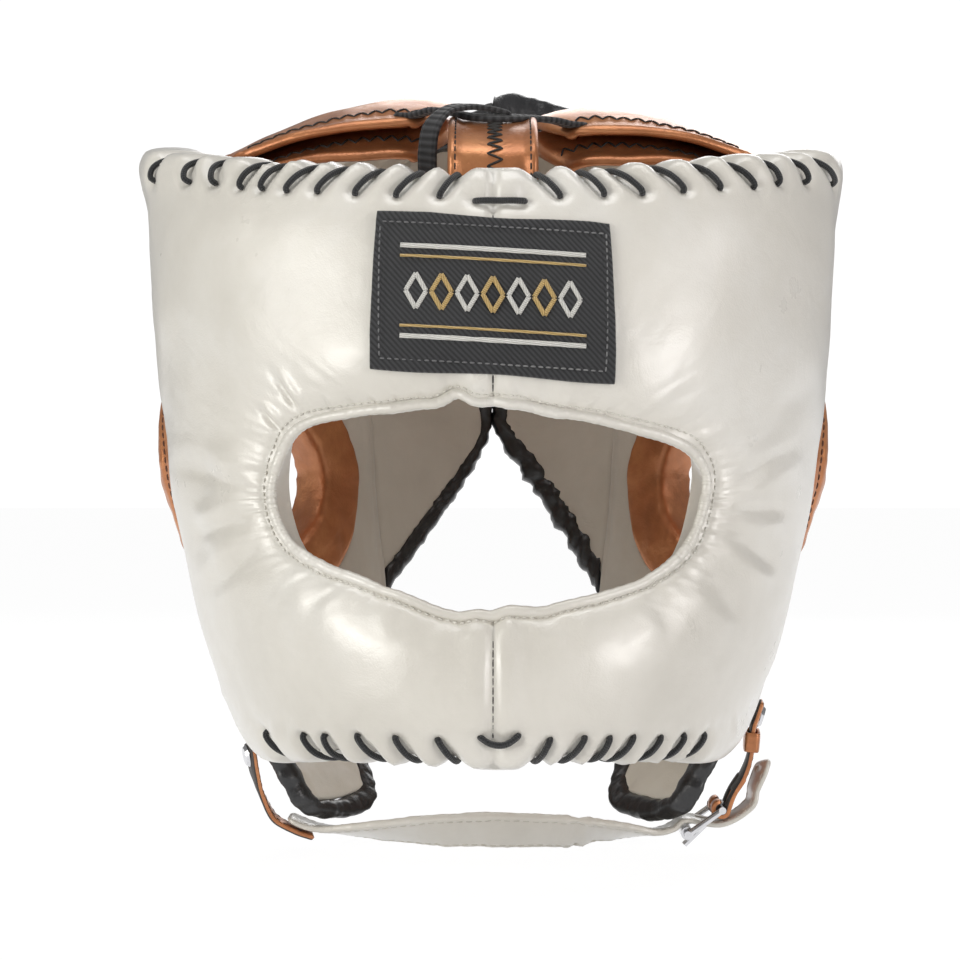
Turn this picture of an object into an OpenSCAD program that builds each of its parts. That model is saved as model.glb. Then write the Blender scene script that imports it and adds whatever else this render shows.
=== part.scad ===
// Boxing headguard with a padded face bar, open at the crown and behind the neck.
// Origin: centre of the head, level with the eyes. The guard faces -Y and +Z is up.
// Left is the wearer's left, on +X.

/* [Shell] */
// Half width of the shell at eye level
eye_half_w = 114.5; // [111:0.5:118]
// Half width of the shell at the brow, one level step above the eyes
brow_half_w = 122.5; // [119:0.5:126]
// Half width of the shell at the jaw, one level step below the eyes
jaw_half_w = 101; // [98:0.5:104]
// Reach of the shell in front of the head's centre at eye level
eye_reach = 127; // [123:0.5:131]
// Reach of the shell at the brow
brow_reach = 119; // [115:0.5:123]
// Reach of the shell at the face bar
bar_reach = 130; // [126:0.5:134]
// Reach of the guard behind the head's centre
rear_reach = 112; // [108:0.5:116]
// Height of the brow above the eyes, and drop of the jaw below them
level_step = 60; // [56:1:64]
// Height of the top edge over the nose
top_front_z = 104; // [100:0.5:107]
// Height of the top edge at the ears
top_side_z = 124; // [121:0.5:127]
// Height of the bottom edge under the face bar
hem_z = -84; // [-87:0.5:-81]
// Height of the crown
crown_z = 150; // [146:0.5:154]

/* [Padding] */
// Thickness of the front padding with its leather
pad_t = 26; // [23:0.5:28]
// Thickness of the side panels with their leather
side_t = 14; // [12:0.5:15]
// Thickness of the rear flaps with their leather
rear_t = 10; // [8.5:0.5:11]
// Thickness of the leather
leather_t = 1.6; // [1.2:0.1:2]
// Depth by which the laced edges are drawn in
edge_draw = 7; // [5:0.5:8]
// Clearance between layers that are sewn together
layer_gap = 0.3; // [0.2:0.05:0.4]
// Thickness of the moulded face bar
bar_t = 4; // [3:0.5:5]

/* [Eye opening] */
// Half width of the eye opening
opening_half_w = 79; // [77:0.5:81]
// Height of the eye opening above the eyes
opening_up = 29; // [27:0.5:31]
// Depth of the eye opening below the eyes
opening_down = 38; // [36:0.5:39.5]
// Rise of the eye opening's lower corners out of its oval
opening_rise = 7; // [4:0.5:8]
// Radius of the rolled rim
rim_r = 2.4; // [2:0.1:2.8]

/* [Ear holes] */
// Angle from the front to the middle of the ear hole, in degrees
ear_angle = 117; // [115:1:118]
// Height of the middle of the ear hole
ear_z = 9; // [6:1:12]
// Half length of the ear hole round the head, in degrees
ear_half_angle = 15; // [13:1:16]
// Half height of the ear hole
ear_half_h = 31; // [28:1:33]
// Height by which the ear cover stands out of the side panel
ear_bulge = 7; // [5:0.5:9]

/* [Label] */
// Width of the label patch
label_w = 78; // [70:1:84]
// Height of the label patch
label_h = 51; // [46:1:54]
// Height of the middle of the label patch
label_z = 64.5; // [63:0.5:66]
// Slope of the label patch, lower on the wearer's left, in degrees
label_tilt = 3.4; // [0:0.2:5]
// Thickness of the label patch
label_t = 1; // [0.8:0.1:1.4]

/* [Lacing] */
// Radius of the whip lace
lace_r = 1.4; // [1.1:0.1:1.6]
// Lace turns over the top edge on each side of the middle
top_turns = 10; // [8:1:11]
// Lace turns over the bottom edge on each side of the middle
hem_turns = 7; // [5:1:8]
// Width of the flat crown lace
crown_lace_w = 8; // [6:0.5:9]

/* [Chin strap] */
// Width of the chin strap
strap_w = 20; // [18:0.5:22]
// Thickness of each strap
strap_t = 2.2; // [1.8:0.1:2.6]
// Height of the strap's middle where it hangs lowest
strap_z = -119.9; // [-123:0.5:-119.9]
// Height of the rivet on the buckle side
buckle_rivet_z = -78; // [-79:0.5:-77]
// Height of the rivet on the plain side
plain_rivet_z = -92; // [-93:0.5:-91]
// Radius of the rivet heads
rivet_r = 4; // [3.5:0.1:4.5]
// Radius of the buckle's wire
wire_r = 1.3; // [1.1:0.05:1.4]
// Distance between the buckle's two bars
buckle_l = 15; // [14:0.5:16]
// Running clearance of the roller and the tongue on their bars
run_gap = 0.06; // [0.03:0.01:0.09]

/* [Hidden] */

pearl = [0.87, 0.85, 0.80];
copper = [0.66, 0.35, 0.20];
charcoal = [0.17, 0.18, 0.19];
cream = [0.85, 0.81, 0.72];
foam_grey = [0.55, 0.55, 0.58];
chrome = [0.78, 0.78, 0.80];

// Squareness of the plan: 1 is an ellipse, less is squarer and more is pointed
front_square = 0.92;
rear_point = 1.5;
rear_square = 0.85;

function mix(a, b, t) = a + (b - a) * t;
function unit(v) = v / norm(v);
function halfway(low, high, mid) = [(high - low) / (2 * level_step),
    ((high + low) / 2 - mid) / pow(level_step, 2)];
width_fit = halfway(jaw_half_w, brow_half_w, eye_half_w);
reach_fit = halfway(bar_reach, brow_reach, eye_reach);
function half_w_at(z) = eye_half_w + width_fit[0] * z + width_fit[1] * z * z;
function reach_at(z) = eye_reach + reach_fit[0] * z + reach_fit[1] * z * z;

// Outline of the guard seen from above, at an angle from the front
function plan(th, w, f, r) = let(s = sin(th), c = cos(th)) c >= 0
    ? [w * sign(s) * pow(abs(s), front_square), -f * pow(c, front_square)]
    : [w * sign(s) * pow(abs(s), rear_point), r * pow(-c, rear_square)];

// Point at an angle and a height, a distance out of the shell's face
function place(th, z, out) = let(p = plan(th, half_w_at(z) + out, reach_at(z) + out, rear_reach + out))
    [p[0], p[1], z];

// The same over the crown: the height is measured along the surface, to crown_run at the top
crown_run = 220;
shell_angle = 89;
hinge_angle = 144.8;
rear_dome_z = 100;
function dome_z(th) = let(t = (180 - abs(180 - abs(th)) - shell_angle) / (hinge_angle - shell_angle))
    mix(top_side_z, rear_dome_z, max(0, min(1, t)));
function drape(th, h, out) = let(z0 = dome_z(th)) h <= z0 ? place(th, h, out)
    : let(a = 90 * (h - z0) / (crown_run - z0), p = place(th, z0, out))
        [p[0] * cos(a), p[1] * cos(a), z0 + (crown_z - z0 + out) * sin(a)];

// Closed slab between two grids of points with equal rows and columns
module slab(a, b, ring = false) {
    rows = len(a);
    cols = len(a[0]);
    n = rows * cols;
    middle = floor(rows / 2) - 1;
    facing = cross(a[middle + 1][0] - a[middle][0], a[middle][1] - a[middle][0])
        * (a[middle][0] - b[middle][0]);
    last = ring ? rows - 1 : rows - 2;
    function at(i, j, k) = (i % rows) * cols + j + k * n;
    function quad(p, q, r, s) = facing > 0 ? [[p, r, q], [p, s, r]] : [[p, q, r], [p, r, s]];
    sheet_a = [for (i = [0:last]) for (j = [0:cols - 2])
        each quad(at(i, j, 0), at(i + 1, j, 0), at(i + 1, j + 1, 0), at(i, j + 1, 0))];
    sheet_b = [for (i = [0:last]) for (j = [0:cols - 2])
        each quad(at(i, j, 1), at(i, j + 1, 1), at(i + 1, j + 1, 1), at(i + 1, j, 1))];
    low_wall = [for (i = [0:last])
        each quad(at(i, 0, 0), at(i, 0, 1), at(i + 1, 0, 1), at(i + 1, 0, 0))];
    high_wall = [for (i = [0:last]) let(j = cols - 1)
        each quad(at(i, j, 0), at(i + 1, j, 0), at(i + 1, j, 1), at(i, j, 1))];
    end_walls = ring ? [] : [for (j = [0:cols - 2])
        each concat(quad(at(0, j, 0), at(0, j + 1, 0), at(0, j + 1, 1), at(0, j, 1)),
            quad(at(rows - 1, j, 0), at(rows - 1, j, 1), at(rows - 1, j + 1, 1), at(rows - 1, j + 1, 0)))];
    polyhedron([for (grid = [a, b]) for (row = grid) each row],
        concat(sheet_a, sheet_b, low_wall, high_wall, end_walls), convexity = 8);
}

// Tube along a path; the side vector tells which way its first facet faces
module tube(path, r, sides, side, closed = false) {
    n = len(path);
    rings = [for (i = [0:n - 1])
        let(before = path[closed ? (i + n - 1) % n : max(i - 1, 0)],
            after = path[closed ? (i + 1) % n : min(i + 1, n - 1)],
            t = unit(after - before), u = unit(cross(t, side)), w = cross(t, u))
        [for (j = [0:sides - 1]) path[i] + r * (u * cos(360 * j / sides) + w * sin(360 * j / sides))]];
    last = closed ? n - 1 : n - 2;
    walls = [for (i = [0:last]) for (j = [0:sides - 1])
        let(p = i * sides, q = ((i + 1) % n) * sides, k = (j + 1) % sides)
        each [[p + j, q + k, p + k], [p + j, q + j, q + k]]];
    caps = closed ? [] : [[for (j = [0:sides - 1]) j],
        [for (j = [sides - 1:-1:0]) (n - 1) * sides + j]];
    polyhedron([for (ring = rings) each ring], concat(walls, caps), convexity = 8);
}

// Flat strap along a path, turned about it by an angle at each point
function lie(path, i) = unit(path[min(i + 1, len(path) - 1)] - path[max(i - 1, 0)]);
function across(path, turns, i) = let(t = lie(path, i), y = unit([0, 1, 0] - t * t[1]), n = cross(t, y))
    y * cos(turns[i]) + n * sin(turns[i]);
function strap_face(path, turns, w, lift) = [for (i = [0:len(path) - 1])
    let(a = across(path, turns, i), n = cross(lie(path, i), a))
    [for (j = [-1:1]) path[i] + a * w * j / 2 + n * lift]];
module strap(path, turns, w, t) {
    slab(strap_face(path, turns, w, t / 2), strap_face(path, turns, w, -t / 2));
}

// Front shell: a padded ring round the eye opening, out to its four laced edges
opening_angle = asin(pow(opening_half_w / eye_half_w, 1 / front_square));
function opening_at(a) = [opening_angle * pow(cos(a), 0.8),
    a > 0 ? opening_up * pow(sin(a), 0.8)
        : opening_rise * sqrt(abs(sin(2 * a))) - opening_down * pow(-sin(a), 1.15)];
function top_z(th) = mix(top_front_z, top_side_z, pow(abs(th) / shell_angle, 1.4));
jaw_corner_drop = 3;
// Each row: angle and height on the outer edge, and the angle round the opening that it faces
shell_edge = [
    [0, hem_z, -90],
    [22, hem_z, -72],
    [44, hem_z - jaw_corner_drop / 2, -54],
    [62, hem_z - jaw_corner_drop, -38],
    [76, hem_z + 4, -26],
    [84, hem_z + 22, -16],
    [shell_angle - 1, -30, -7],
    [shell_angle, 5, 0],
    [shell_angle, 45, 8],
    [shell_angle - 1, 85, 18],
    [shell_angle - 2, top_z(87), 32],
    [68, top_z(68), 44],
    [50, top_z(50), 56],
    [30, top_z(30), 68],
    [14, top_z(14), 79],
    [0, top_front_z, 90]];
edge_rows = len(shell_edge) - 1;
function edge_at(k) = let(i = min(floor(k), edge_rows - 1)) mix(shell_edge[i], shell_edge[i + 1], k - i);
function shell_uv(side, k, v) = let(e = edge_at(k), o = opening_at(e[2]))
    [side * mix(o[0], e[0], v), mix(o[1], e[1], v)];
function shell_at(side, k, v, out) = let(q = shell_uv(side, k, v)) place(q[0], q[1], out);

// Share of the padding's full height at a place between two drawn-in edges
pillow = 3.2;
function crowned(v) = 1 - pow(abs(2 * v - 1), pillow);
function face_out(v) = -edge_draw * (1 - crowned(v));
function lining_out(v) = -pad_t + (edge_draw - 2) * (1 - crowned(v));

// Rows of the shell: [side, k] from the hem over one side to the top
function half_rows(side) = [for (i = [0:2 * edge_rows])
    [side, side > 0 ? i / 2 : edge_rows - i / 2]];
function hem_rows(to) = concat([[-1, to - end_gap]], [for (k = [to - 0.5:-0.5:0]) [-1, k]],
    [for (k = [0.5:0.5:to - 0.5]) [1, k]], [[1, to - end_gap]]);
function brow_rows(from) = concat([[1, from + end_gap]], [for (k = [from + 0.5:0.5:edge_rows]) [1, k]],
    [for (k = [edge_rows - 0.5:-0.5:from + 0.5]) [-1, k]], [[-1, from + end_gap]]);
function cheek_rows(side, from, to) = let(n = 2 * (to - from)) [for (i = [0:n])
    let(j = side > 0 ? i : n - i, k = from + j / 2)
    [side, j == 0 ? k + end_gap : j == n ? k - end_gap : k]];
ring_rows = concat(half_rows(1), [for (k = [edge_rows - 0.5:-0.5:0.5]) [-1, k]]);
function shell_grid(rows, steps, outs) = [for (r = rows) [for (j = [0:len(steps) - 1])
    shell_at(r[0], r[1], steps[j], outs[j])]];

// Leather cover of one half, wrapped over the padding's edges down to the lining
pad_steps = [0.06, 0.25, 0.5, 0.75, 0.94];
wrap = 0.025;
module shell_cover(side) {
    rows = half_rows(side);
    lip = lining_out(0) + leather_t + layer_gap;
    top = face_out(0);
    outer_v = concat([0, 0], pad_steps, [1, 1]);
    outer_t = concat([lip, top], [for (v = pad_steps) face_out(v)], [top, lip]);
    inner_v = concat([wrap, wrap], pad_steps, [1 - wrap, 1 - wrap]);
    inner_t = concat([lip, top - leather_t], [for (v = pad_steps) face_out(v) - leather_t],
        [top - leather_t, lip]);
    color(pearl) slab(shell_grid(rows, outer_v, outer_t), shell_grid(rows, inner_v, inner_t));
}

// A layer of padding between two depths, each a share from the lining (0) to the cover (1)
function pad_out(v, share) = mix(lining_out(v) + leather_t + layer_gap,
    face_out(v) - leather_t - layer_gap, share);
module pad_layer(rows, low, high, steps = pad_steps) {
    slab(shell_grid(rows, steps, [for (v = steps) pad_out(v, high)]),
        shell_grid(rows, steps, [for (v = steps) pad_out(v, low)]));
}

// Rows where the bar, the cheeks and the forehead pads meet
bar_row = 4;
brow_row = 10;
// Shares of the padding's depth that the moulded bar lies between
bar_low = 0.45;
bar_high = bar_low + bar_t / (pad_t - 2 * (leather_t + layer_gap));
bar_gap = 0.015;
// Part of a row left free between neighbouring pads
end_gap = 0.04;

module forehead_foam() {
    color(foam_grey) pad_layer(brow_rows(brow_row), 0, 1);
}
module cheek_foam(side) {
    color(foam_grey) pad_layer(cheek_rows(side, bar_row, brow_row), 0, 1);
}
module bar_foam_outer() {
    color(foam_grey) pad_layer(hem_rows(bar_row), bar_high + bar_gap, 1);
}
module bar_foam_inner() {
    color(foam_grey) pad_layer(hem_rows(bar_row), 0, bar_low - bar_gap);
}
module face_bar() {
    color("black") pad_layer(hem_rows(bar_row - 0.5), bar_low, bar_high, [0.25, 0.5, 0.75]);
}
module front_lining() {
    steps = concat([0.01], pad_steps, [0.99]);
    color(cream) slab(shell_grid(ring_rows, steps, [for (v = steps) lining_out(v) + leather_t]),
        shell_grid(ring_rows, steps, [for (v = steps) lining_out(v)]), ring = true);
}
module eye_rim() {
    inset = (rim_r + layer_gap) / 54;
    color(pearl) tube([for (r = ring_rows) shell_at(r[0], r[1], -inset, face_out(0) + 0.5)],
        rim_r, 6, [0, 1, 0], closed = true);
}

// Angle from the front at a distance to the side, at brow level
function angle_at(x) = asin(pow(x / brow_half_w, 1 / front_square));
module label_patch() {
    reach = angle_at(label_w / 2);
    lift = 0.5;
    function over_cover(z) = face_out((z - opening_up) / (top_front_z - opening_up)) + lift;
    function sheet(out) = [for (i = [-4:4]) [for (j = [-2:2])
        let(z = label_z + label_h * j / 4 - label_w * i / 8 * tan(label_tilt))
            place(reach * i / 4, z, over_cover(z) + out)]];
    color(charcoal) slab(sheet(label_t), sheet(0));
}

// One turn of whip lace over an edge: up is +1 at the top edge and -1 at the hem
module lace_turn(th, z, up, lean) {
    clear = lace_r + layer_gap + 0.15;
    face = face_out(1) + clear;
    low = lining_out(1) - clear;
    path = [place(th + lean, z - up * 7.5, face + 4.1),
        place(th + lean * 0.6, z - up * 2.5, face + 1.7),
        place(th + lean * 0.3, z + up * (clear + 0.3), face - 0.5),
        place(th, z + up * (clear + 0.3), low + 0.2),
        place(th, z - up * 4, low - 2.8)];
    tube(path, lace_r, 6, unit([-path[2][1], path[2][0], 0]));
}
module middle_turn(z, up) {
    inset = 9;
    v = 1 - inset / abs(z - (up > 0 ? opening_up : -opening_down));
    path = [for (x = [-8, -4, 0, 4, 8]) let(th = sign(x) * angle_at(abs(x)))
        place(th, z - up * inset, face_out(v) + lace_r + layer_gap + (abs(x) > 6 ? 0.1 : 0.6))];
    tube(path, lace_r, 6, [0, 0, 1]);
}
module top_lacing() {
    pitch = (shell_angle - 11) / top_turns;
    color(charcoal) {
        for (side = [-1, 1]) for (i = [0:top_turns - 1]) let(th = 10 + pitch * i)
            lace_turn(side * th, top_z(th), 1, side * min(4, shell_angle - 3 - th));
        middle_turn(top_front_z, 1);
    }
}
module bottom_lacing() {
    pitch = 54 / hem_turns;
    color(charcoal) {
        for (side = [-1, 1]) for (i = [0:hem_turns - 1]) let(th = 9 + pitch * i)
            lace_turn(side * th, hem_edge(th), -1, side * -2);
        middle_turn(hem_z, -1);
    }
}
function hem_edge(th) = lookup(th, [for (i = [0:3]) [shell_edge[i][0], shell_edge[i][1]]]);

// Side panel: a padded ring round the ear hole, from the shell to the rear flap's crease
side_angle = shell_angle + 0.3;
crease_angle = hinge_angle - 0.4;
corner_angle = 132;
side_hem_z = hem_z + 3;
function side_low(th) = mix(side_hem_z, -57, (th - side_angle) / (corner_angle - side_angle));
neck_z = -38;
// Each row: angle and height on the outer edge, and the angle round the ear hole that it faces
side_edge = [
    [side_angle, side_hem_z, 225],
    [108, side_low(108), 256],
    [121, side_low(121), 280],
    [corner_angle, side_low(corner_angle), 300],
    [139, -47, 312],
    [crease_angle, neck_z, 324],
    [crease_angle, -10, 342],
    [crease_angle, 25, 370],
    [crease_angle, 65, 392],
    [crease_angle, 115, 410],
    [crease_angle, 172, 424],
    [134, 163, 434],
    [121, 152, 445],
    [108, 140, 456],
    [98, 130, 465],
    [side_angle, top_side_z, 478],
    [side_angle, 80, 500],
    [side_angle, 40, 520],
    [side_angle, 0, 542],
    [side_angle, -42, 565]];
function side_uv(k, v) = let(n = len(side_edge), i = floor(k) % n, e = side_edge[i],
        a = ear_angle + ear_half_angle * cos(e[2]), z = ear_z + ear_half_h * sin(e[2]))
    [mix(a, e[0], v), mix(z, e[1], v)];
function side_at(k, v, out) = let(q = side_uv(k, v)) drape(q[0], q[1], out);
side_draw = 4;
function side_face(v) = -side_draw * (1 - crowned(v));
function side_inner(v) = -side_t + (side_draw - 1) * (1 - crowned(v));
function side_grid(steps, outs) = [for (k = [0:len(side_edge) - 1])
    [for (j = [0:len(steps) - 1]) side_at(k, steps[j], outs[j])]];
side_steps = [0, 0.06, 0.3, 0.6, 0.82, 0.94, 1];

module side_cover() {
    color(pearl) slab(side_grid(side_steps, [for (v = side_steps) side_face(v)]),
        side_grid(side_steps, [for (v = side_steps) side_face(v) - leather_t]), ring = true);
}
module side_foam() {
    steps = [0.06, 0.3, 0.6, 0.82, 0.94];
    color(foam_grey) slab(side_grid(steps, [for (v = steps) side_face(v) - leather_t - layer_gap]),
        side_grid(steps, [for (v = steps) side_inner(v) + leather_t + layer_gap]), ring = true);
}
module side_lining() {
    color(cream) slab(side_grid(side_steps, [for (v = side_steps) side_inner(v) + leather_t]),
        side_grid(side_steps, [for (v = side_steps) side_inner(v)]), ring = true);
}

// Copper cover: a padded ring outside the ear hole, a lining through it and a lip inside
ear_spread = 8.5;
ear_band = 19;
// The cover stands out at the front of the ear and lies flatter behind it
function ear_lift(a, out) = out > 0 ? out * (1 - 0.6 * max(0, cos(a))) : out;
function ear_at(a, q, out) = drape(ear_angle + (ear_half_angle + ear_spread * q) * cos(a),
    ear_z + (ear_half_h + ear_band * q) * sin(a), ear_lift(a, out));
module ear_cover() {
    under = -side_t - 0.4;
    over = 1.1;
    top = ear_bulge + over;
    outer = [[0.22, under - leather_t], [-0.1, under - leather_t], [-0.2, -10], [-0.2, -2],
        [-0.1, over + 4], [0.15, top], [0.5, top + 1], [0.85, top - 3], [1, over + 0.4]];
    inner = [[0.22, under], [-0.02, under], [-0.08, -10], [-0.08, -2],
        [-0.02, over], [0.15, over], [0.5, over], [0.85, over], [1, over]];
    function grid(line) = [for (e = side_edge) [for (p = line) ear_at(e[2], p[0], p[1])]];
    color(copper) slab(grid(outer), grid(inner), ring = true);
}

// Black binding along the neck edge of the side panel
bind_t = 11;
module side_binding() {
    out = side_face(1) + 0.5;
    rows = [[corner_angle + 1, side_low(corner_angle) - 0.4], [139, -47.8], [crease_angle, neck_z - 0.8]];
    function strip(depth, drop) = [for (r = rows) [for (j = [0:2]) drape(r[0], r[1] - drop * j / 2, out - depth)]];
    color("black") slab(strip(0, 9), strip(bind_t, 9));
}

// Chin flap: the panel's lower end, curling in under the jaw
flap_t = 4.5;
flap_bind_t = 7;
flap_gap = 0.6;
function bow(a, b, c, t) = a * pow(1 - t, 2) + b * 2 * t * (1 - t) + c * pow(t, 2);
function flap_top(w) = let(th = mix(side_angle - 5, corner_angle - 0.5, w))
    place(th, side_low(max(th, side_angle)) - flap_gap - (w > 0.95 ? 9 : 0), -side_t * 0.75);
low_half_w = half_w_at(side_hem_z);
function flap_mid(w) = mix([low_half_w - 22, -14, side_hem_z - 18], [low_half_w - 43, 42, side_hem_z - 12], w);
function flap_end(w) = bow([low_half_w - 26, -12, side_hem_z - 29], [low_half_w - 38, 4, side_hem_z - 40],
    [low_half_w - 53, 16, side_hem_z - 31], w);
function flap_at(s, w) = bow(flap_top(w), flap_mid(w), flap_end(w), s);
function flap_face(s, w, lift) = flap_at(s, w) + unit([1, mix(-0.2, 0.8, w), -0.3]) * lift;
bind_share = 0.125;
module chin_flap() {
    function face(lift) = [for (i = [0:6]) [for (j = [0:6])
        flap_face(i / 6 * 0.82, mix(bind_share + 0.012, 0.988 - bind_share, j / 6), lift)]];
    color(cream) slab(face(flap_t / 2), face(-flap_t / 2));
}
module flap_binding() {
    outer = concat([for (s = [0.06:0.188:1]) [s, 0]], [for (w = [0.2:0.2:0.8]) [1, w]],
        [for (s = [1:-0.188:0.06]) [s, 1]]);
    inner = concat([for (s = [0.06:0.156:0.85]) [s, bind_share]], [for (w = [0.26:0.16:0.75]) [0.84, w]],
        [for (s = [0.84:-0.156:0.05]) [s, 1 - bind_share]]);
    function ring(lift) = [for (i = [0:len(outer) - 1]) [flap_face(outer[i][0], outer[i][1], lift),
        flap_face(inner[i][0], inner[i][1], lift)]];
    color("black") slab(ring(flap_bind_t / 2), ring(-flap_bind_t / 2));
}

// Crown petal: a sheet folded at its outer end, sewn inside the top edge
petal_t = 1.8;
petal_gap = 9;
petal_fold = 3;
petal_reach = [[0, pad_t], [0.5, pad_t], [0.75, pad_t - 2], [1, side_t + 2]];
function petal_sheet(s, w) = let(
        tip = mix([22, -42, 127], [12, 8, 143], w),
        middle = mix([58, -50, 126], [60, 20, 140], w),
        wall = place(mix(61, 102, w), mix(112, 118, w), -lookup(w, petal_reach) - petal_fold + 1))
    bow(tip, middle, wall, s) + [0, 0, 6 * sin(180 * w) * sin(90 * (1 - s))];
module crown_petal() {
    low = [for (s = [0:0.2:1]) [s, -petal_gap * (1 - 0.35 * s), 180]];
    fold = [[1, -petal_gap * 0.5, 135], [1, -petal_gap * 0.15, 45]];
    high = [for (s = [1:-0.2:0]) [s, 0, 0]];
    function face(lift) = [for (r = concat(low, fold, high)) [for (w = [0:0.25:1])
        petal_sheet(r[0], w) + [0, 0, r[1]] + [r[2] > 0 && r[2] < 180 ? petal_fold : 0, 0, 0]
            + [sin(r[2]), 0, cos(r[2])] * lift]];
    color(copper) slab(face(petal_t / 2), face(-petal_t / 2));
}

// Front crown tab: a leather loop sewn behind the top edge
tab_w = 30;
module crown_tab() {
    function behind(up) = place(0, top_front_z + up, -pad_t - petal_t / 2 + 0.5);
    over = behind(2);
    path = [behind(-12), over, over + [0, 1.8, 9], over + [0, 12.8, 17], over + [0, 30.8, 23],
        over + [0, 34.8, 20], over + [0, 29.8, 16.5], over + [0, 14.8, 10], over + [0, 5.8, 0]];
    function face(lift) = [for (i = [0:len(path) - 1]) let(n = cross(lie(path, i), [1, 0, 0]))
        [for (j = [-1:1]) path[i] + [tab_w * j / 2 * (i > 3 && i < 6 ? 0.9 : 1), 0, 0] + n * lift]];
    color(copper) slab(face(petal_t / 2), face(-petal_t / 2));
}

// Flat crown lace from one petal over the tab to the other
module crown_lace() {
    path = [[-34, -38.8, 133.3], [-28, -40.6, 133.2], [-21, -46, 134.2], [-14, -52, 132.6], [-7, -56, 130.6],
        [0, -57.5, 130], [7, -56, 130.6], [14, -52, 132.6], [21, -46, 134.2], [27, -41.4, 133.2], [32, -38.8, 133.1]];
    turns = [0, 0, 6, 14, 18, 18, 18, 14, 6, 0, 0];
    color(charcoal) strap(path, turns, crown_lace_w, 1.4);
}

// Rear flap: from the crease to the middle, from the neck edge up to the crown
flap_angle = hinge_angle + 0.4;
middle_angle = 179.6;
bound_angle = 170.5;
apex_z = 32;
rear_bind_w = 11;
function neck_edge(th) = mix(neck_z, apex_z, (th - flap_angle) / (middle_angle - flap_angle));
flap_top_z = 98;
yoke_low_z = flap_top_z + 0.8;
function crown_edge(th) = mix(173, 189, (th - flap_angle) / (middle_angle - flap_angle));
function rear_grid(out) = [for (i = [0:6]) let(th = mix(flap_angle, bound_angle, i / 6))
    [for (j = [0:6]) place(th, mix(neck_edge(th) + rear_bind_w + 0.5, flap_top_z, j / 6), out)]];
function yoke_grid(out) = [for (i = [0:6]) let(th = mix(flap_angle, bound_angle, i / 6))
    [for (j = [0:5]) drape(th, mix(yoke_low_z, crown_edge(th) - 9.5, j / 5), out)]];
module rear_layer(top, under) {
    slab(rear_grid(top), rear_grid(under));
}
module rear_cover() {
    color(pearl) rear_layer(0, -leather_t);
}
module rear_foam() {
    color(foam_grey) rear_layer(-leather_t - layer_gap, -rear_t + leather_t + layer_gap);
}
module rear_lining() {
    color(cream) rear_layer(-rear_t + leather_t, -rear_t);
}
bound_middle = bound_angle + 0.3;
bind_over = 0.3;
bind_under = 0.6;
module bound(outer, inner) {
    function face(out) = [for (i = [0:len(outer) - 1])
        [drape(outer[i][0], outer[i][1], out), drape(inner[i][0], inner[i][1], out)]];
    color("black") slab(face(bind_over), face(-rear_t - bind_under));
}
module rear_binding() {
    bound(concat([for (i = [0:6]) let(th = mix(flap_angle, middle_angle, i / 6)) [th, neck_edge(th)]],
            [for (z = [50, 66, 82, flap_top_z]) [middle_angle, z]]),
        concat([for (i = [0:6]) let(th = mix(flap_angle, bound_middle, i / 6)) [th, neck_edge(th) + rear_bind_w]],
            [for (z = [50, 66, 82, flap_top_z]) [bound_middle, z]]));
}
module rear_yoke() {
    color(pearl) slab(yoke_grid(0), yoke_grid(-rear_t));
}
module yoke_binding() {
    bound(concat([for (z = [yoke_low_z, 130, 160]) [middle_angle, z]],
            [for (i = [6:-1:0]) let(th = mix(flap_angle, middle_angle, i / 6)) [th, crown_edge(th)]]),
        concat([for (z = [yoke_low_z, 130, 160]) [bound_middle, z]],
            [for (i = [6:-1:0]) let(th = mix(flap_angle, bound_middle, i / 6)) [th, crown_edge(th) - 9]]));
}

// Closure strap sewn to the right flap, and the loop patch on the left flap that it presses on
closure_z = 71;
closure_w = 44;
patch_t = 0.9;
module loop_patch() {
    function face(out) = [for (th = [153:2.5:168]) [for (j = [-1:1]) drape(th, closure_z + 18 * j, out)]];
    color(charcoal) slab(face(0.4 + patch_t), face(0.4));
}
closure_lift = [[156, 0.8 + patch_t], [170, 0.8 + patch_t], [184, 1], [192, 0.5], [206, 0.5]];
closure_t = 2.4;
module closure_strap() {
    function face(out) = [for (i = [0:14]) let(th = mix(closure_lift[0][0], closure_lift[4][0], i / 14))
        [for (j = [-1:1]) drape(th, closure_z + closure_w / 2 * j, lookup(th, closure_lift) + out)]];
    color(pearl) slab(face(closure_t), face(0));
}

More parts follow.
